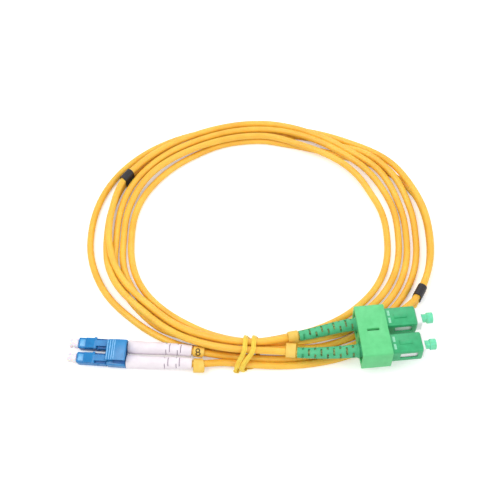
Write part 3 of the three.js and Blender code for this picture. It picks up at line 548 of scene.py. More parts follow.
plastics = {
    # name: (darker hex, lighter hex, clouds in mm, grain in mm, roughness, relief, IOR)
    # PBT, moulded in a polished tool: an even satin gloss with faint flow clouds
    "blue_pbt": ("#187BBD", "#268DCE", 2.4, 0.09, 0.3, 0.12, 1.55),
    # a darker, duller copy of the same blue: painted shade on the housings' and latches' tops
    "shaded_blue_pbt": ("#0A76BB", "#1887CB", 2.4, 0.09, 0.3, 0.12, 1.42),
    # navy: painted shade for the clip's strip under the trigger and for the sheets beside the
    # latch arms
    "navy_painted_shade": ("#0A569A", "#1163AB", 2.4, 0.09, 0.4, 0.12, 1.42),
    "green_pbt": ("#29A56A", "#33B577", 2.8, 0.1, 0.36, 0.14, 1.55),
    "white_pbt": ("#EDEEF0", "#F7F7F8", 3, 0.1, 0.32, 0.12, 1.55),
    # the same blue, lighter and glossier: painted highlights on the housings' noses and on the
    # trigger's ribs
    "blue_painted_highlight": ("#4FA6E2", "#62B4EA", 1.5, 0.09, 0.22, 0.06, 1.55),
    "blue_painted_glint": ("#72BAEE", "#8CCBF6", 1.2, 0.09, 0.25, 0.06, 1.55),
    # ABS, moulded in a finely blasted tool: duller, with a little more grain
    "light_green_abs": ("#5CCB80", "#67D68B", 3.5, 0.14, 0.42, 0.2, 1.53),
    # thermoplastic elastomer boots: soft, dull, a little dusty
    "white_tpe": ("#ECE2EA", "#F6EEF4", 4, 0.16, 0.55, 0.25, 1.48),
    "green_tpe": ("#44B07A", "#53C08A", 3, 0.16, 0.5, 0.28, 1.48),
    # low-density polyethylene caps: waxy, light passes into them
    "milky_ldpe": ("#F1E6EE", "#F8F0F5", 2, 0.12, 0.4, 0.1, 1.51),
    "green_ldpe": ("#66D8A8", "#80E6BC", 2, 0.12, 0.38, 0.1, 1.51),
    # soft vinyl: wire markers and the tie's coating
    "marker_vinyl": ("#EFC14F", "#F6CF66", 2.5, 0.15, 0.48, 0.15, 1.5),
    "tie_vinyl": ("#F2CB3C", "#F9DA50", 1.4, 0.2, 0.45, 0.4, 1.5),
    # cross-linked polyolefin after shrinking: near black, a soft sheen, small wrinkles
    "shrink_polyolefin": ("#120F13", "#1F1A20", 0.9, 0.35, 0.42, 0.6, 1.5),
    # painted shade for what is seen down the boots' slots and in the clip's slot; the green
    # boots' slots also get pale painted glints
    "slot_shade_and_glint": ("#0A3325", "#B4C47A", 0.9, 0.1, 0.6, 0.05, 1.5),
    "pale_shade": ("#A698AC", "#BCAFC0", 2, 0.1, 0.6, 0.05, 1.5),
    "green_painted_shade": ("#1C6B3C", "#267A48", 2, 0.1, 0.6, 0.1, 1.5),
    # printing inks: thin and matt
    "black_ink": ("#33200C", "#422A10", 0.6, 0.1, 0.6, 0.1, 1.5),
    "mint_ink": ("#86D2B0", "#A0E2C4", 0.7, 0.1, 0.5, 0.1, 1.5),
    # fired zirconia, ground and polished: creamy white, with a clear gloss
    "zirconia": ("#F1EFE8", "#FAF9F4", 0.8, 0.05, 0.18, 0.04, 2.1),
    # coated glass fibre: a smooth, warm white thread
    "glass_fibre": ("#E8E2CC", "#F4F0DC", 0.5, 0.05, 0.1, 0.02, 1.5),
}


def drawnMetal(name, facts):
    dark, light, lineMm, roughness, stretch = facts
    material, tree, place = newMaterial(name)
    spot = {"Vector": place.outputs["Object"]}
    drawn = addNode(tree, "ShaderNodeMapping", {"Scale": stretch}, spot).outputs["Vector"]
    fineness = {"Scale": 1 / (lineMm * mm), "Detail": 4}
    lines = addNode(tree, "ShaderNodeTexNoise", fineness, {"Vector": drawn})
    return surfaced(material, "metal", {"Metallic": 1}, (dark, light), lines, lines, roughness)


metals = {
    # name: (darker hex, lighter hex, lines in mm, roughness, stretch of the lines)
    # turned brass under bright nickel: a clean, cool shine
    "nickel_plate": ("#B4B2AC", "#CFCDC8", 0.2, 0.28, (1, 1, 1)),
    # drawn spring wire: fine lines along the wire
    "spring_steel": ("#9A9CA0", "#BCBEC2", 0.12, 0.3, (0.3, 1, 1)),
    # pressed brass: warm and a little dull
    "crimp_brass": ("#B8A06A", "#D4BE86", 0.3, 0.35, (1, 1, 1)),
}

jacket = {
    "dark": "#F2BA3C",
    "light": "#FCC94C",
    "cloudMm": 14,
    "grainMm": 0.25,
    "drawLines": 26,  # faint lines round the jacket, from the extruder's die
    "lineBreaks": 4,  # and how often they fade along the cable
    "rough": 0.4,
    "relief": 0.15,
    "reliefMm": 0.05,
    "ior": 1.52,
    "glow": 0.35,  # light passes a little way into the PVC and comes out warmer
    "glowReach": (1, 0.35, 0.08),
    "glowMm": 1.2,
}


def cableJacket(name, facts):  # flexible PVC, extruded: satin, with faint lines along the cable
    material, tree, place = newMaterial(name)
    spot = {"Vector": place.outputs["Object"]}
    clouds = {"Scale": 1 / (facts["cloudMm"] * mm), "Detail": 2}
    cloud = addNode(tree, "ShaderNodeTexNoise", clouds, spot)
    stretch = {"Scale": (facts["lineBreaks"], facts["drawLines"], 1)}
    along = addNode(tree, "ShaderNodeMapping", stretch, {"Vector": place.outputs["UV"]})
    drawn = {"Vector": along.outputs["Vector"]}
    lines = addNode(tree, "ShaderNodeTexNoise", {"Scale": 1, "Detail": 1}, drawn)
    grains = {"Scale": 1 / (facts["grainMm"] * mm), "Detail": 2}
    grain = addNode(tree, "ShaderNodeTexNoise", grains, spot)
    both = {0: lines.outputs["Fac"], 1: grain.outputs["Fac"]}
    height = addNode(tree, "ShaderNodeMath", {"operation": "ADD"}, both)
    depth = {"Strength": facts["relief"], "Distance": facts["reliefMm"] * mm}
    bump = addNode(tree, "ShaderNodeBump", depth, {"Height": height.outputs[0]})
    settings = {
        "IOR": facts["ior"],
        "Subsurface Weight": facts["glow"],
        "Subsurface Radius": facts["glowReach"],
        "Subsurface Scale": facts["glowMm"] * mm,
    }
    shades = (facts["dark"], facts["light"])
    return surfaced(material, "jacket", settings, shades, cloud, lines, facts["rough"], bump)


finishes = {name: mouldedPlastic(name, facts) for name, facts in plastics.items()}
finishes.update({name: drawnMetal(name, facts) for name, facts in metals.items()})
finishes["pvc_jacket"] = cableJacket("pvc_jacket", jacket)
print("materials made")


def wear(obj, finish):
    obj.data.materials.clear()
    obj.data.materials.append(finishes[finish])


def settle(obj, body, finish, slot, *replaced):  # last step of every new piece
    wear(obj, finish)
    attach(obj, body)
    if replaced:
        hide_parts(*replaced)
    deselect()
    return obj


# Rigid mouldings: each solid with its edges eased, as (body, finish, slot, edge radius).
easedNodes = {
    # the clip wears navy, a painted shade where the trigger overhangs it
    "lc_clip": ("cord", "navy_painted_shade", "blue_plastic", 0.22),
    "sc_clip": ("sc_grips", "light_green_abs", "light_green_plastic", 0.22),
}
for n in (1, 2):
    # the housings and latches wear the darker copy of the blue, a painted shade
    easedNodes[f"lc_housing_{n}"] = ("cord", "shaded_blue_pbt", "blue_plastic", 0.2)
    easedNodes[f"lc_latch_{n}"] = (f"lc_latch_{n}", "shaded_blue_pbt", "blue_plastic", 0.1)
    easedNodes[f"lc_body_{n}"] = ("cord", "blue_pbt", "blue_plastic", 0.26)
    easedNodes[f"sc_grip_{n}"] = ("sc_grips", "green_pbt", "green_plastic", 0.16)
    easedNodes[f"sc_frame_{n}"] = ("cord", "white_pbt", "white_plastic", 0.2)
easing = {"mergeWithin": 2e-6, "flatBelow": 1, "edgeAbove": 28, "segments": 2}

# Small changes to a copied solid before its edges are eased, in its plug pair's u, v, w.
clipRoof = {"node": "lc_clip", "narrow": 0.9}  # the roof ends under the trigger's edges
clipSlot = {"node": "sc_clip", "u": (16, 23), "half": 0.45, "above": 3.9, "widen": 1.4}


def reshape(node, piece):
    if node == clipRoof["node"]:
        matrix = pairMatrix(small)
        narrower = Matrix.Diagonal((1, clipRoof["narrow"], 1, 1))
        piece.data.transform(matrix @ narrower @ matrix.inverted())
    if node == clipSlot["node"]:
        matrix = pairMatrix(large)
        back = matrix.inverted()
        for vertex in piece.data.vertices:
            spot = back @ vertex.co
            along = clipSlot["u"][0] < spot.x < clipSlot["u"][1]
            if along and abs(spot.y) < clipSlot["half"] and spot.z > clipSlot["above"]:
                spot.y *= clipSlot["widen"]
                vertex.co = matrix @ spot


def easeEdges(piece, width):
    applyModifier(
        piece,
        "BEVEL",
        width=width,
        segments=easing["segments"],
        limit_method="ANGLE",
        angle_limit=math.radians(easing["edgeAbove"]),
        use_clamp_overlap=True,
    )


def easedCopy(node, radius):
    piece = nodes[node].copy()
    piece.data = nodes[node].data.copy()
    piece.parent = None
    for key in list(piece.keys()):
        del piece[key]
    piece.name = piece.data.name = node + "_shell"
    bpy.context.scene.collection.objects.link(piece)
    piece.hide_render = False
    piece.hide_viewport = False
    flat = math.radians(easing["flatBelow"])
    editAll(
        piece,
        merging(easing["mergeWithin"]),
        lambda: bpy.ops.mesh.dissolve_limited(angle_limit=flat),
    )
    reshape(node, piece)
    easeEdges(piece, radius * mm)
    smoothed(piece, "moulding")
    return piece


for node, (body, finish, slot, radius) in easedNodes.items():
    settle(easedCopy(node, radius), body, finish, slot, node)
print("mouldings eased")

# The trigger: a plate that rises from its nose on the latches, over a knuckle at its rear.
trigger = {
    "side": (
        (12.5, 4.1), (12.5, 4.45), (12.8, 4.8), (16.6, 6.1), (20.9, 6.3), (21.2, 6.1),
        (21.2, 5.7), (16.6, 5.45), (13.5, 4.1),
    ),
    "half": 4.4,
    "across": 0.2,
    "knuckle": ((19.8, 3.3), (19.8, 5.9), (20.8, 5.9), (20.8, 3.3)),
    "knuckleHalf": 4,
    "edge": 0.14,
    "ribsAt": (13, 14.1, 15.2, 16.1),
    "ribWide": 0.42,
    "ribSunk": 0.12,
}


def sideBar(name, side, half):  # a side outline of (u, w) with a width across v
    circle = bpy.ops.mesh.primitive_circle_add
    bar = addShape(name, circle, vertices=len(side), fill_type="NGON")
    for vertex, (u, w) in zip(bar.data.vertices, side):
        vertex.co = (u, -half, w)
    editAll(
        bar,
        lambda: bpy.ops.mesh.extrude_region_move(
            TRANSFORM_OT_translate={"value": (0, 2 * half, 0)}
        ),
        selectAll,
        faceOutwards,
    )
    return bar


def triggerTop(u):  # the height of the sloping front of the trigger
    (u0, w0), (u1, w1) = trigger["side"][2:4]
    return w0 + (w1 - w0) * (u - u0) / (u1 - u0)


for name, side, half in (
    ("lc_trigger_plate", trigger["side"], trigger["half"]),
    ("lc_trigger_knuckle", trigger["knuckle"], trigger["knuckleHalf"]),
):
    piece = sideBar(name, side, half)
    easeEdges(piece, trigger["edge"])
    piece.data.transform(pairMatrix(small, 0, trigger["across"]))
    smoothed(piece, "moulding")
    settle(piece, "lc_trigger", "blue_pbt", "blue_plastic", "lc_trigger")
print("trigger made")

turning = {"sides": 48, "capSides": 40, "mergeWithin": 1e-4}


def turned(name, outline, steps=turning["sides"]):  # a closed outline of (u, radius) spun round u
    piece = addShape(name, bpy.ops.mesh.primitive_circle_add, vertices=len(outline))
    for vertex, (u, radius) in zip(piece.data.vertices, outline):
        vertex.co = (u, 0, radius)
    editAll(
        piece,
        lambda: bpy.ops.mesh.spin(
            steps=steps, angle=2 * math.pi, center=(0, 0, 0), axis=(1, 0, 0), use_auto_merge=True
        ),
        selectAll,
        merging(turning["mergeWithin"]),
        faceOutwards,
    )
    return piece


def arc(centreU, centreR, radius, start, stop, count=4):  # points of a rounding, in degrees
    turn = [math.radians(start + (stop - start) * k / count) for k in range(count + 1)]
    return [(centreU + radius * math.cos(a), centreR + radius * math.sin(a)) for a in turn]


def selectFaces(obj, test):
    activate(obj)
    bpy.ops.object.mode_set(mode="EDIT")
    bpy.ops.mesh.select_mode(type="FACE")
    bpy.ops.mesh.select_all(action="DESELECT")
    bpy.ops.object.mode_set(mode="OBJECT")
    for face in obj.data.polygons:
        face.select = test(face)
    bpy.ops.object.mode_set(mode="EDIT")


boot = {
    "edge": 0.25,
    "edgeMiddle": 0.3,  # the share of the edge at the middle of its rounding
    "collarEdge": (0.1, 0.3),
    "ringGap": 2,  # at most this between two rings of points, so that the wall bends smoothly
    "socket": 2.15,  # the wide front of the bore, round the crimp ring
    "boreRings": (1, 0.85, 0.7, 0.55),  # in shares of the boot's length
    "wallFrom": 1.9,  # what lies further out than this is the outer wall
}


def bootOutline(pair, length):
    frontR, rearR = pair["bootR"]

    def onWall(u):
        return u, frontR + (rearR - frontR) * u / length

    edge = boot["edge"]
    turn = edge * boot["edgeMiddle"]
    outer = [(0, frontR - edge), (turn, frontR - turn), onWall(edge)]
    if pair["collar"]:
        start, stop, ringR = pair["collar"]
        near, far = boot["collarEdge"]
        outer += [
            onWall(start), (start + near, ringR - near), (start + far, ringR),
            (stop - far, ringR), (stop - near, ringR - near), onWall(stop),
        ]
    for slotAt in pair["slots"]:
        outer += [onWall(slotAt), onWall(slotAt + pair["slotWide"])]
    known = sorted(u for u, _ in outer)
    for a, b in zip(known, [*known[1:], length - edge]):
        count = int((b - a) / boot["ringGap"])
        outer += [onWall(a + (b - a) * k / (count + 1)) for k in range(1, count + 1)]
    outer.sort()
    outer += [onWall(length - edge), (length - turn, rearR - turn), (length, rearR - edge)]
    bore = cable["radius"] + fit
    step = pair["crimpEnd"] - pair["bootFrom"] + endGap
    inner = [(length * share, bore) for share in boot["boreRings"]]
    return [*outer, *inner, (step, bore), (step, boot["socket"]), (0, boot["socket"])]


def straightBoot(name, pair, i, length):  # the boot, and which of its faces are slot floors
    piece = turned(name, bootOutline(pair, length))

    def turnedTo(centre, facing):  # degrees round the boot between a face and a slot's middle
        angle = math.degrees(math.atan2(centre.y, centre.z))
        return abs((angle - facing - pair["slotFaceTurn"][i] + 180) % 360 - 180)

    def inSlot(face):
        centre = face.center
        if math.hypot(centre.y, centre.z) <= boot["wallFrom"]:
            return False
        for k, slotAt in enumerate(pair["slots"]):
            if slotAt < centre.x < slotAt + pair["slotWide"]:
                facings = pair["slotFaces"][k % 2]
                return any(turnedTo(centre, facing) < half for facing, half in facings)
        return False

    selectFaces(piece, inSlot)
    bpy.ops.mesh.extrude_region_shrink_fatten(
        TRANSFORM_OT_shrink_fatten={"value": -pair["slotDeep"]}
    )
    bpy.ops.object.mode_set(mode="OBJECT")
    return piece, [face.index for face in piece.data.polygons if face.select]


def layOnRoute(obj, points):  # bends a straight piece along a route in the drawing, into metres
    walked = distances(points)
    for vertex in obj.data.vertices:
        i, share = spanAt(walked, min(max(vertex.co.x, 0), walked[-1]))
        before = points[i + 1] - points[i]
        after = points[min(i + 2, len(points) - 1)] - points[min(i + 1, len(points) - 2)]
        along = before.normalized().lerp(after.normalized(), share).normalized()
        across = along.cross(upAxis).normalized()
        lift = across.cross(along).normalized()
        centre = points[i].lerp(points[i + 1], share)
        vertex.co = inPart(centre + across * vertex.co.y + lift * vertex.co.z)


bootPieces = {}
for kind, pair, i in plugs:
    route = bootRoute(pair, i)[0]
    node = f"{kind}_boot_{i + 1}"
    piece, slotFloors = straightBoot(node + "_sleeve", pair, i, distances(route)[-1])
    layOnRoute(piece, route)
    smoothed(piece, "turned")
    bootPieces[kind, i] = settle(piece, "cord", pair["bootFinish"], pair["bootSlot"], node)
    # the slot floors wear a painted shade, with pale painted glints in the green boots
    piece.data.materials.append(finishes[pair["slotPaintedShade"]])
    for index in slotFloors:
        piece.data.polygons[index].material_index = 1
print("boots made")

# The caps, turned from their front face back to the plug, then down the stem and its bore.
caps = {
    "lc": {
        "finish": "milky_ldpe",
        "slot": "white_cap_plastic",
        "face": ((-4, 0), (-4, 1.65)),
        "edge": (-3.75, 1.7, 0.25),
        "outside": (
            (-3.1, 1.95), (-2.9, 1.7), (-2.6, 1.6), (-2.2, 1.6), (-1.9, 1.7), (-1.7, 1.95),
            (-0.3, 1.95), (-0.15, 1.8), (-0.15, 1.5),
        ),
        "stem": ((2.4, 1.48), (2.6, 1.3), (2.6, 0.8), (-2.3, 0.8), (-2.3, 0)),
    },
    "sc": {
        "finish": "green_ldpe",
        "slot": "green_cap_plastic",
        "face": ((-5.4, 0), (-5.4, 1.2), (-5.6, 1.5), (-5.9, 1.7)),
        "edge": (-5.6, 2.05, 0.3),
        "outside": (
            (-3.45, 2.35), (-3.3, 2.2), (-3.3, 1.93), (-3.15, 1.78), (-1.6, 1.78), (-1.4, 1.9),
            (-1, 1.9), (-0.85, 1.78), (-0.85, 1.95),
        ),
        "stem": ((2.8, 2.18), (3, 2), (3, 1.45), (-2.9, 1.45), (-2.9, 0)),
    },
}
for kind, pair, i in plugs:
    cap, node = caps[kind], f"{kind}_cap_{i + 1}"
    outline = [*cap["face"], *arc(*cap["edge"], 180, 90), *cap["outside"], *cap["stem"]]
    piece = turned(node + "_turned", outline, turning["capSides"])
    piece.data.transform(coreMatrix(pair, i))
    smoothed(piece, "turned")
    settle(piece, node, cap["finish"], cap["slot"], node)
print("caps made")

# The ferrules' springs, closed at both ends.
springs = {
    "lc": {"radius": 1.3, "wire": 0.14, "span": (5.35, 10.25), "curls": 7},
    "sc": {"radius": 1.75, "wire": 0.22, "span": (9.15, 14.65), "curls": 6.5},
}
springForm = {"curlSteps": 20, "closing": 0.06, "wireSides": 8, "floatRange": 1}


def springRoute(facts, matrix):
    start, stop = facts["span"][0] + facts["wire"], facts["span"][1] - facts["wire"]
    radius, curls = facts["radius"], facts["curls"]
    count = int(curls * springForm["curlSteps"])
    points = []
    for i in range(count + 1):
        share = i / count
        eased = share - springForm["closing"] * math.sin(2 * math.pi * share)
        angle = 2 * math.pi * curls * share
        u = start + (stop - start) * eased
        point = Vector((u, radius * math.cos(angle), radius * math.sin(angle)))
        points.append(matrix @ point)
    return points


for kind, pair, i in plugs:
    facts, matrix, node = springs[kind], coreMatrix(pair, i), f"{kind}_spring_{i + 1}"
    route = springRoute(facts, matrix)
    piece = tubeAlong(node + "_coil", route, facts["wire"] * mm, springForm["wireSides"])
    settle(piece, "cord", "spring_steel", "spring_steel", node)
    length = facts["span"][1] - facts["span"][0]
    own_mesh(piece)
print("springs made")

# Small plates: the trigger's ribs and the housings' noses, lighter as painted highlights; dark
# sheets of painted shade beside the latch arms and in the clip's slot; and the plain bars on the
# grips.
plates = {
    # the ribs wear a lighter blue, a painted highlight
    "rib": {"v": (-4.1, 4.1), "thick": 0.36, "finish": "blue_painted_glint", "slot": "blue_plastic"},
    # light pads on the housings' noses: a painted highlight
    "nose": {
        "u": (0.75, 3), "v": (-1.45, 1.45), "bottom": 2.27, "thick": 0.07,
        "finish": "blue_painted_highlight", "slot": "blue_plastic",
    },
    # dark sheets laid on the housings' tops beside the latch arms: painted shade
    "shade_sheet": {
        "u": (8.1, 12.5), "v": (-2.1, 2.1), "bottom": 2.27, "thick": 0.07,
        "finish": "navy_painted_shade", "slot": "blue_plastic",
    },
    # a dark green sheet in the clip's slot: painted shade
    "slotFloor": {
        "u": (16.9, 21.9), "v": (-0.5, 0.5), "bottom": 4.2, "thick": 0.12,
        "finish": "green_painted_shade", "slot": "light_green_plastic",
    },
    "bar": {
        "u": (11.1, 12.1), "bottom": 3.66, "thick": 0.1,
        "finish": "mint_ink", "slot": "green_plastic",
    },
}
barSpans = ((-3, -0.5), (0.5, 3))
plateEdge = 0.4  # the share of a plate's thickness that its edges are rounded by


def addPlate(name, body, pair, across, facts):
    (u0, u1), (v0, v1), thick = facts["u"], facts["v"], facts["thick"]
    plate = addShape(name, bpy.ops.mesh.primitive_plane_add, size=1)
    middle = Matrix.Translation(((u0 + u1) / 2, (v0 + v1) / 2, facts["bottom"]))
    plate.data.transform(middle @ Matrix.Diagonal((u1 - u0, v1 - v0, 1, 1)))
    editAll(
        plate,
        lambda: bpy.ops.mesh.extrude_region_move(TRANSFORM_OT_translate={"value": (0, 0, thick)}),
        selectAll,
        faceOutwards,
        lambda: bpy.ops.mesh.bevel(offset=min(thick, u1 - u0) * plateEdge, segments=2),
    )
    plate.data.transform(pairMatrix(pair, 0, across))
    smoothed(plate, "plate")
    settle(plate, body, facts["finish"], facts["slot"])


for k, u in enumerate(trigger["ribsAt"]):
    place = {"u": (u, u + trigger["ribWide"]), "bottom": triggerTop(u) - trigger["ribSunk"]}
    name = f"lc_trigger_rib_{k + 1}"
    addPlate(name, "lc_trigger", small, trigger["across"], {**plates["rib"], **place})
addPlate("sc_clip_slot_floor", "sc_grips", large, 0, plates["slotFloor"])
for i in (0, 1):
    for kind in ("nose", "shade_sheet"):
        addPlate(f"lc_housing_{i + 1}_{kind}", "cord", small, small["acrossAt"][i], plates[kind])
    for k, span in enumerate(barSpans):
        bar = {**plates["bar"], "v": span}
        addPlate(f"sc_grip_{i + 1}_bar_{k + 1}", "sc_grips", large, large["acrossAt"][i], bar)
print("plates made")

# The wire markers are oval sleeves: turned round, then drawn out to both half widths.
marker = {
    "gap": 0.5, "length": 4.3, "middle": 2.7, "longR": 3.1, "shortR": 2.15,
    "turnedR": 3, "rimR": 2.6, "edge": 0.2, "wallFrom": 1.95,
    "rolls": (80, 0), "offset": 0.8,  # degrees round the cable; how far the second one sits off
}


def ovalSleeve(name, roll, offset):
    start, stop = marker["gap"], marker["gap"] + marker["length"]
    edge, middle = marker["edge"], marker["middle"]
    bore, wall, rim = cable["radius"] + fit, marker["turnedR"], marker["rimR"]
    outline = [
        (start, bore), (start, rim), (start + edge, wall), (middle, wall), (stop - edge, wall),
        (stop, rim), (stop, bore), (middle, bore),
    ]
    piece = turned(name, outline)
    turn = Matrix.Rotation(math.radians(roll), 4, "X")
    for vertex in piece.data.vertices:
        if math.hypot(vertex.co.y, vertex.co.z) > marker["wallFrom"]:
            vertex.co.y *= marker["longR"] / wall
            vertex.co.z *= marker["shortR"] / wall
            vertex.co = turn @ vertex.co + Vector((0, offset, 0))
    return piece


markerPieces = {}
for kind, pair, i in plugs:
    node = f"{kind}_marker_{i + 1}"
    piece = ovalSleeve(node + "_tag", marker["rolls"][i], i * marker["offset"])
    layOnRoute(piece, freeRuns[kind, i])
    smoothed(piece, "turned")
    markerPieces[kind, i] = settle(piece, "cord", "marker_vinyl", "marker_plastic", node)

# The numeral is laid on the marker along one direction, as a stamp would be.
numeral = {
    "text": "8", "height": 3.3, "wide": 1.05, "thick": 0.03, "lean": 3, "cuts": 3,
    "figureShare": 0.73,  # how much of the letter size a figure stands high
    "stamp": (0, 0.5, -0.866), "reach": 20,
}


def stampNumeral(target):
    sign = addShape("lc_marker_1_numeral", bpy.ops.object.text_add)
    sign.data.body = numeral["text"]
    sign.data.align_x = "CENTER"
    sign.data.align_y = "CENTER"
    sign.data.size = numeral["height"] / numeral["figureShare"]
    bpy.ops.object.convert(target="MESH")
    sign = bpy.context.object
    cuts = numeral["cuts"]
    editAll(sign, merging(1e-3), lambda: bpy.ops.mesh.subdivide(number_cuts=cuts))
    along = Vector(numeral["stamp"]).normalized()
    right = Vector((1, 0, 0))
    up = right.cross(along).normalized()
    turn = Matrix((right, up, -along)).transposed().to_4x4()
    spin = Matrix.Rotation(math.radians(numeral["lean"]), 4, "Z")
    corners = [vertex.co for vertex in target.data.vertices]
    middle = sum(corners, Vector()) / len(corners)
    centre = middle - along * numeral["reach"] * mm
    shape = Matrix.Diagonal((numeral["wide"], 1, 1, 1))
    sign.data.transform(Matrix.Translation(centre) @ turn @ spin @ Matrix.Scale(mm, 4) @ shape)
    for vertex in sign.data.vertices:
        found, place, normal, _ = target.ray_cast(vertex.co, along)
        if found:
            vertex.co = place + normal * numeral["thick"] * mm
    applyModifier(sign, "SOLIDIFY", thickness=2 * numeral["thick"] * mm, offset=-1)
    return sign


bpy.context.view_layer.update()
sign = settle(stampNumeral(markerPieces["lc", 0]), "cord", "black_ink", "marker_plastic")

sleeveForm = {
    "length": 5.8, "inner": 1.65, "wall": 0.4, "edge": 0.15, "ribs": 5, "ribDeep": 0.07,
}


def shrinkSleeve(name, upper, lower, angle):
    half, edge = sleeveForm["length"] / 2, sleeveForm["edge"]
    inner, outerR = sleeveForm["inner"], sleeveForm["inner"] + sleeveForm["wall"]
    steps = 4 * sleeveForm["ribs"]
    ribbed = []
    for k in range(1, steps):
        swell = sleeveForm["ribDeep"] * (math.cos(k * math.pi / 2) - 1) / 2
        ribbed.append((-half + edge + 2 * (half - edge) * k / steps, outerR + swell))
    outline = [
        (-half, inner), (-half, outerR - edge), (-half + edge, outerR), *ribbed,
        (half - edge, outerR), (half, outerR - edge), (half, inner), (0, inner),
    ]
    piece = turned(name, outline)
    top, bottom = onCoil(upper, angle), onCoil(lower, angle)
    stack = abs(top.z - bottom.z)
    for vertex in piece.data.vertices:  # drawn apart to go round both cables
        if abs(vertex.co.z) > turning["mergeWithin"]:
            vertex.co.z += math.copysign(stack / 2, vertex.co.z)
    ahead = onCoil(upper, angle + 1) - onCoil(upper, angle - 1)
    ahead = Vector((ahead.x, ahead.y, 0)).normalized()
    turn = Matrix((ahead, upAxis.cross(ahead), upAxis)).transposed().to_4x4()
    centre = inPart((top + bottom) / 2)
    piece.data.transform(Matrix.Translation(centre) @ turn @ Matrix.Scale(mm, 4))
    smoothed(piece, "tube")
    return piece


sleeves = []
for n, (upper, lower, angle) in enumerate(
    ((strandTwo, strandOne, coilEnd + 0.5), (strandOne, strandTwo, ringStart - 1)), 1
):
    piece = shrinkSleeve(f"shrink_sleeve_{n}_skin", upper, lower, angle)
    sleeves.append(
        settle(piece, "cord", "shrink_polyolefin", "heat_shrink", f"shrink_sleeve_{n}")
    )

# The tie is a flat coated strip with a wire down its middle, wound twice round the bundle.
tie = {
    "span": (-3.1, 4), "wraps": 2, "steps": 48, "loopFine": 12, "fine": 3,
    "halfWide": 1.05, "halfThick": 0.13, "rim": 0.1, "rimThick": 0.3, "wire": 0.38,
    "wireAngles": (2.5, 2, 1.57, 1.14, 0.64), "tuckedSteps": 4,
    "leanFrom": -54, "leanTo": -59.4, "lean": (-2.6, -3.9),  # on the near side, to the left
    "loop": (
        (-59.3, 2.6), (-59, 4.6), (-57.2, 8), (-56, 10.2), (-54.3, 11.8), (-51.5, 12.2),
        (-49, 11.8), (-47.5, 10.3), (-46.1, 7.4), (-44.5, 4.2), (-44.3, 2), (-46, 0.8),
        (-51.5, 0.7), (-56.3, 0.65), (-58.9, 0.9),
    ),
    "firstEnd": ((-6.2, -58.8, 1.2), (-5.9, -59.3, 1.8)),
    "lastEnd": ((-1.4, -57.5, 0.7), (-3.4, -57.9, 0.75), (-5, -58.6, 0.8), (-6.4, -59.5, 1)),
    "endTwist": 200, "endLength": 3.5,
}


def smoothThrough(points, perSpan, closed):  # points along a smooth curve through these
    if closed:
        chain = [points[-1], *points, *points[:2]]
    else:
        chain = [points[0] * 2 - points[1], *points, points[-1] * 2 - points[-2]]
    made = []
    for i in range(len(chain) - 3):
        p = chain[i : i + 4]
        a, b, c = [math.sqrt((p[k + 1] - p[k]).length) for k in range(3)]
        first = ((p[1] - p[0]) / a - (p[2] - p[0]) / (a + b) + (p[2] - p[1]) / b) * b
        second = ((p[2] - p[1]) / b - (p[3] - p[1]) / (b + c) + (p[3] - p[2]) / c) * b
        made += [cubic(p[1], p[2], first, second, k / perSpan) for k in range(perSpan)]
    return [*made, chain[-2]]


def evenly(points, count):  # this many points at even distances, without the last
    walked = distances(points)
    made = []
    for i in range(count):
        k, share = spanAt(walked, walked[-1] * i / count)
        made.append(points[k].lerp(points[k + 1], share))
    return made


def tieRoute():
    loop = [Vector((0, *point)) for point in tie["loop"]]
    section = evenly(smoothThrough(loop, tie["loopFine"], True), tie["steps"])
    count = tie["wraps"] * tie["steps"]
    start, stop = tie["span"]
    around = []
    for i in range(0, count + 1 - tie["tuckedSteps"], 2):  # the last end lies under the bundle
        point = section[i % tie["steps"]].copy()
        share = (point.y - tie["leanFrom"]) / (tie["leanTo"] - tie["leanFrom"])
        share = min(max(share, 0), 1)
        lean = tie["lean"][min(i // tie["steps"], 1)]
        point.x = start + (stop - start) * i / count + lean * share**2 * (3 - 2 * share)
        around.append(point)
    stops = [*map(Vector, tie["firstEnd"]), *around, *map(Vector, tie["lastEnd"])]
    return smoothThrough(stops, tie["fine"], False)


def tieOutline():  # the strip's section, from edge to edge over the wire and back under it
    wide, thick, wire, rim = tie["halfWide"], tie["halfThick"], tie["wire"], tie["rim"]
    half = [(-wide, thick * tie["rimThick"]), (-wide + rim, thick), (-wire, thick)]
    for angle in tie["wireAngles"]:
        half.append((wire * math.cos(angle), max(wire * math.sin(angle), thick)))
    half += [(wire, thick), (wide - rim, thick), (wide, thick * tie["rimThick"])]
    return half + [(w, -n) for w, n in reversed(half)]


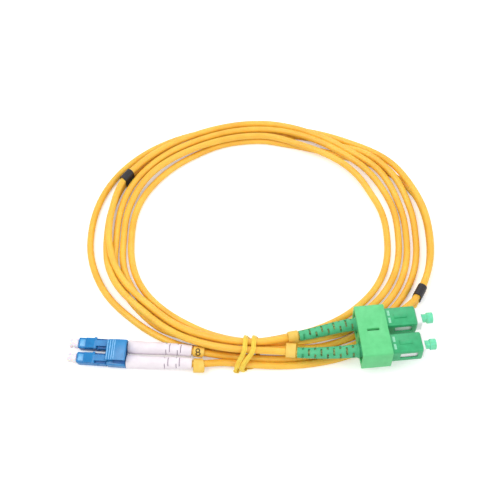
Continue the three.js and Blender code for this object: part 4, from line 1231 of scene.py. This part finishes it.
def tieStrip(route):
    outline = tieOutline()
    aheads = []
    for i in range(len(route)):
        before, after = route[max(i - 1, 0)], route[min(i + 1, len(route) - 1)]
        aheads.append((after - before).normalized())
    middle = len(route) // 2
    wides = [None] * len(route)
    for order in (range(middle, len(route)), range(middle, -1, -1)):
        held = Vector((1, 0, 0))
        for i in order:  # the strip's width is carried along with no twist of its own
            held = (held - aheads[i] * held.dot(aheads[i])).normalized()
            wides[i] = held
    walked = distances(route)
    cuts = {"x_subdivisions": len(route) - 1, "y_subdivisions": len(outline)}
    strip = addShape("twist_tie_strip", bpy.ops.mesh.primitive_grid_add, **cuts)
    for index, vertex in enumerate(strip.data.vertices):
        row, i = divmod(index, len(route))
        w, n = outline[row % len(outline)]
        toEnd = min(walked[i], walked[-1] - walked[i])
        twist = math.radians(tie["endTwist"]) * max(1 - toEnd / tie["endLength"], 0)
        across = Matrix.Rotation(twist, 3, aheads[i]) @ wides[i]
        vertex.co = inPart(route[i] + across * w + aheads[i].cross(across) * n)
    editAll(strip, merging(1e-7), lambda: bpy.ops.mesh.fill_holes(sides=0))
    smoothed(strip, "turned")
    return strip


tiePiece = tieStrip(tieRoute())
settle(tiePiece, "cord", "tie_vinyl", "tie_coating", "twist_tie")
print("markers, sleeves and tie made")

# Each cable is one piece, in place of its two legs and its coil strand.
for i, made in enumerate(cables):
    settle(
        made["piece"], "cord", "pvc_jacket", "cable_jacket",
        f"lc_leg_{i + 1}", f"coil_strand_{i + 1}", f"sc_leg_{2 - i}",
    )
    going = [markerPieces["lc", i], markerPieces["sc", 1 - i], bootPieces["sc", 1 - i]]
    if i == 0:
        going += [*sleeves, tiePiece, sign]

# Finishes of the CAD nodes that stay.
kept = {}
for n in (1, 2):
    for kind in ("lc", "sc"):
        kept[f"{kind}_ferrule_{n}"] = "zirconia"
        kept[f"{kind}_flange_{n}"] = "nickel_plate"
        kept[f"{kind}_fibre_{n}"] = "glass_fibre"
        kept[f"{kind}_crimp_{n}"] = "crimp_brass"
    kept[f"sc_backbone_{n}"] = "white_pbt"
for node, finish in kept.items():
    wear(nodes[node], finish)

print("pieces placed")
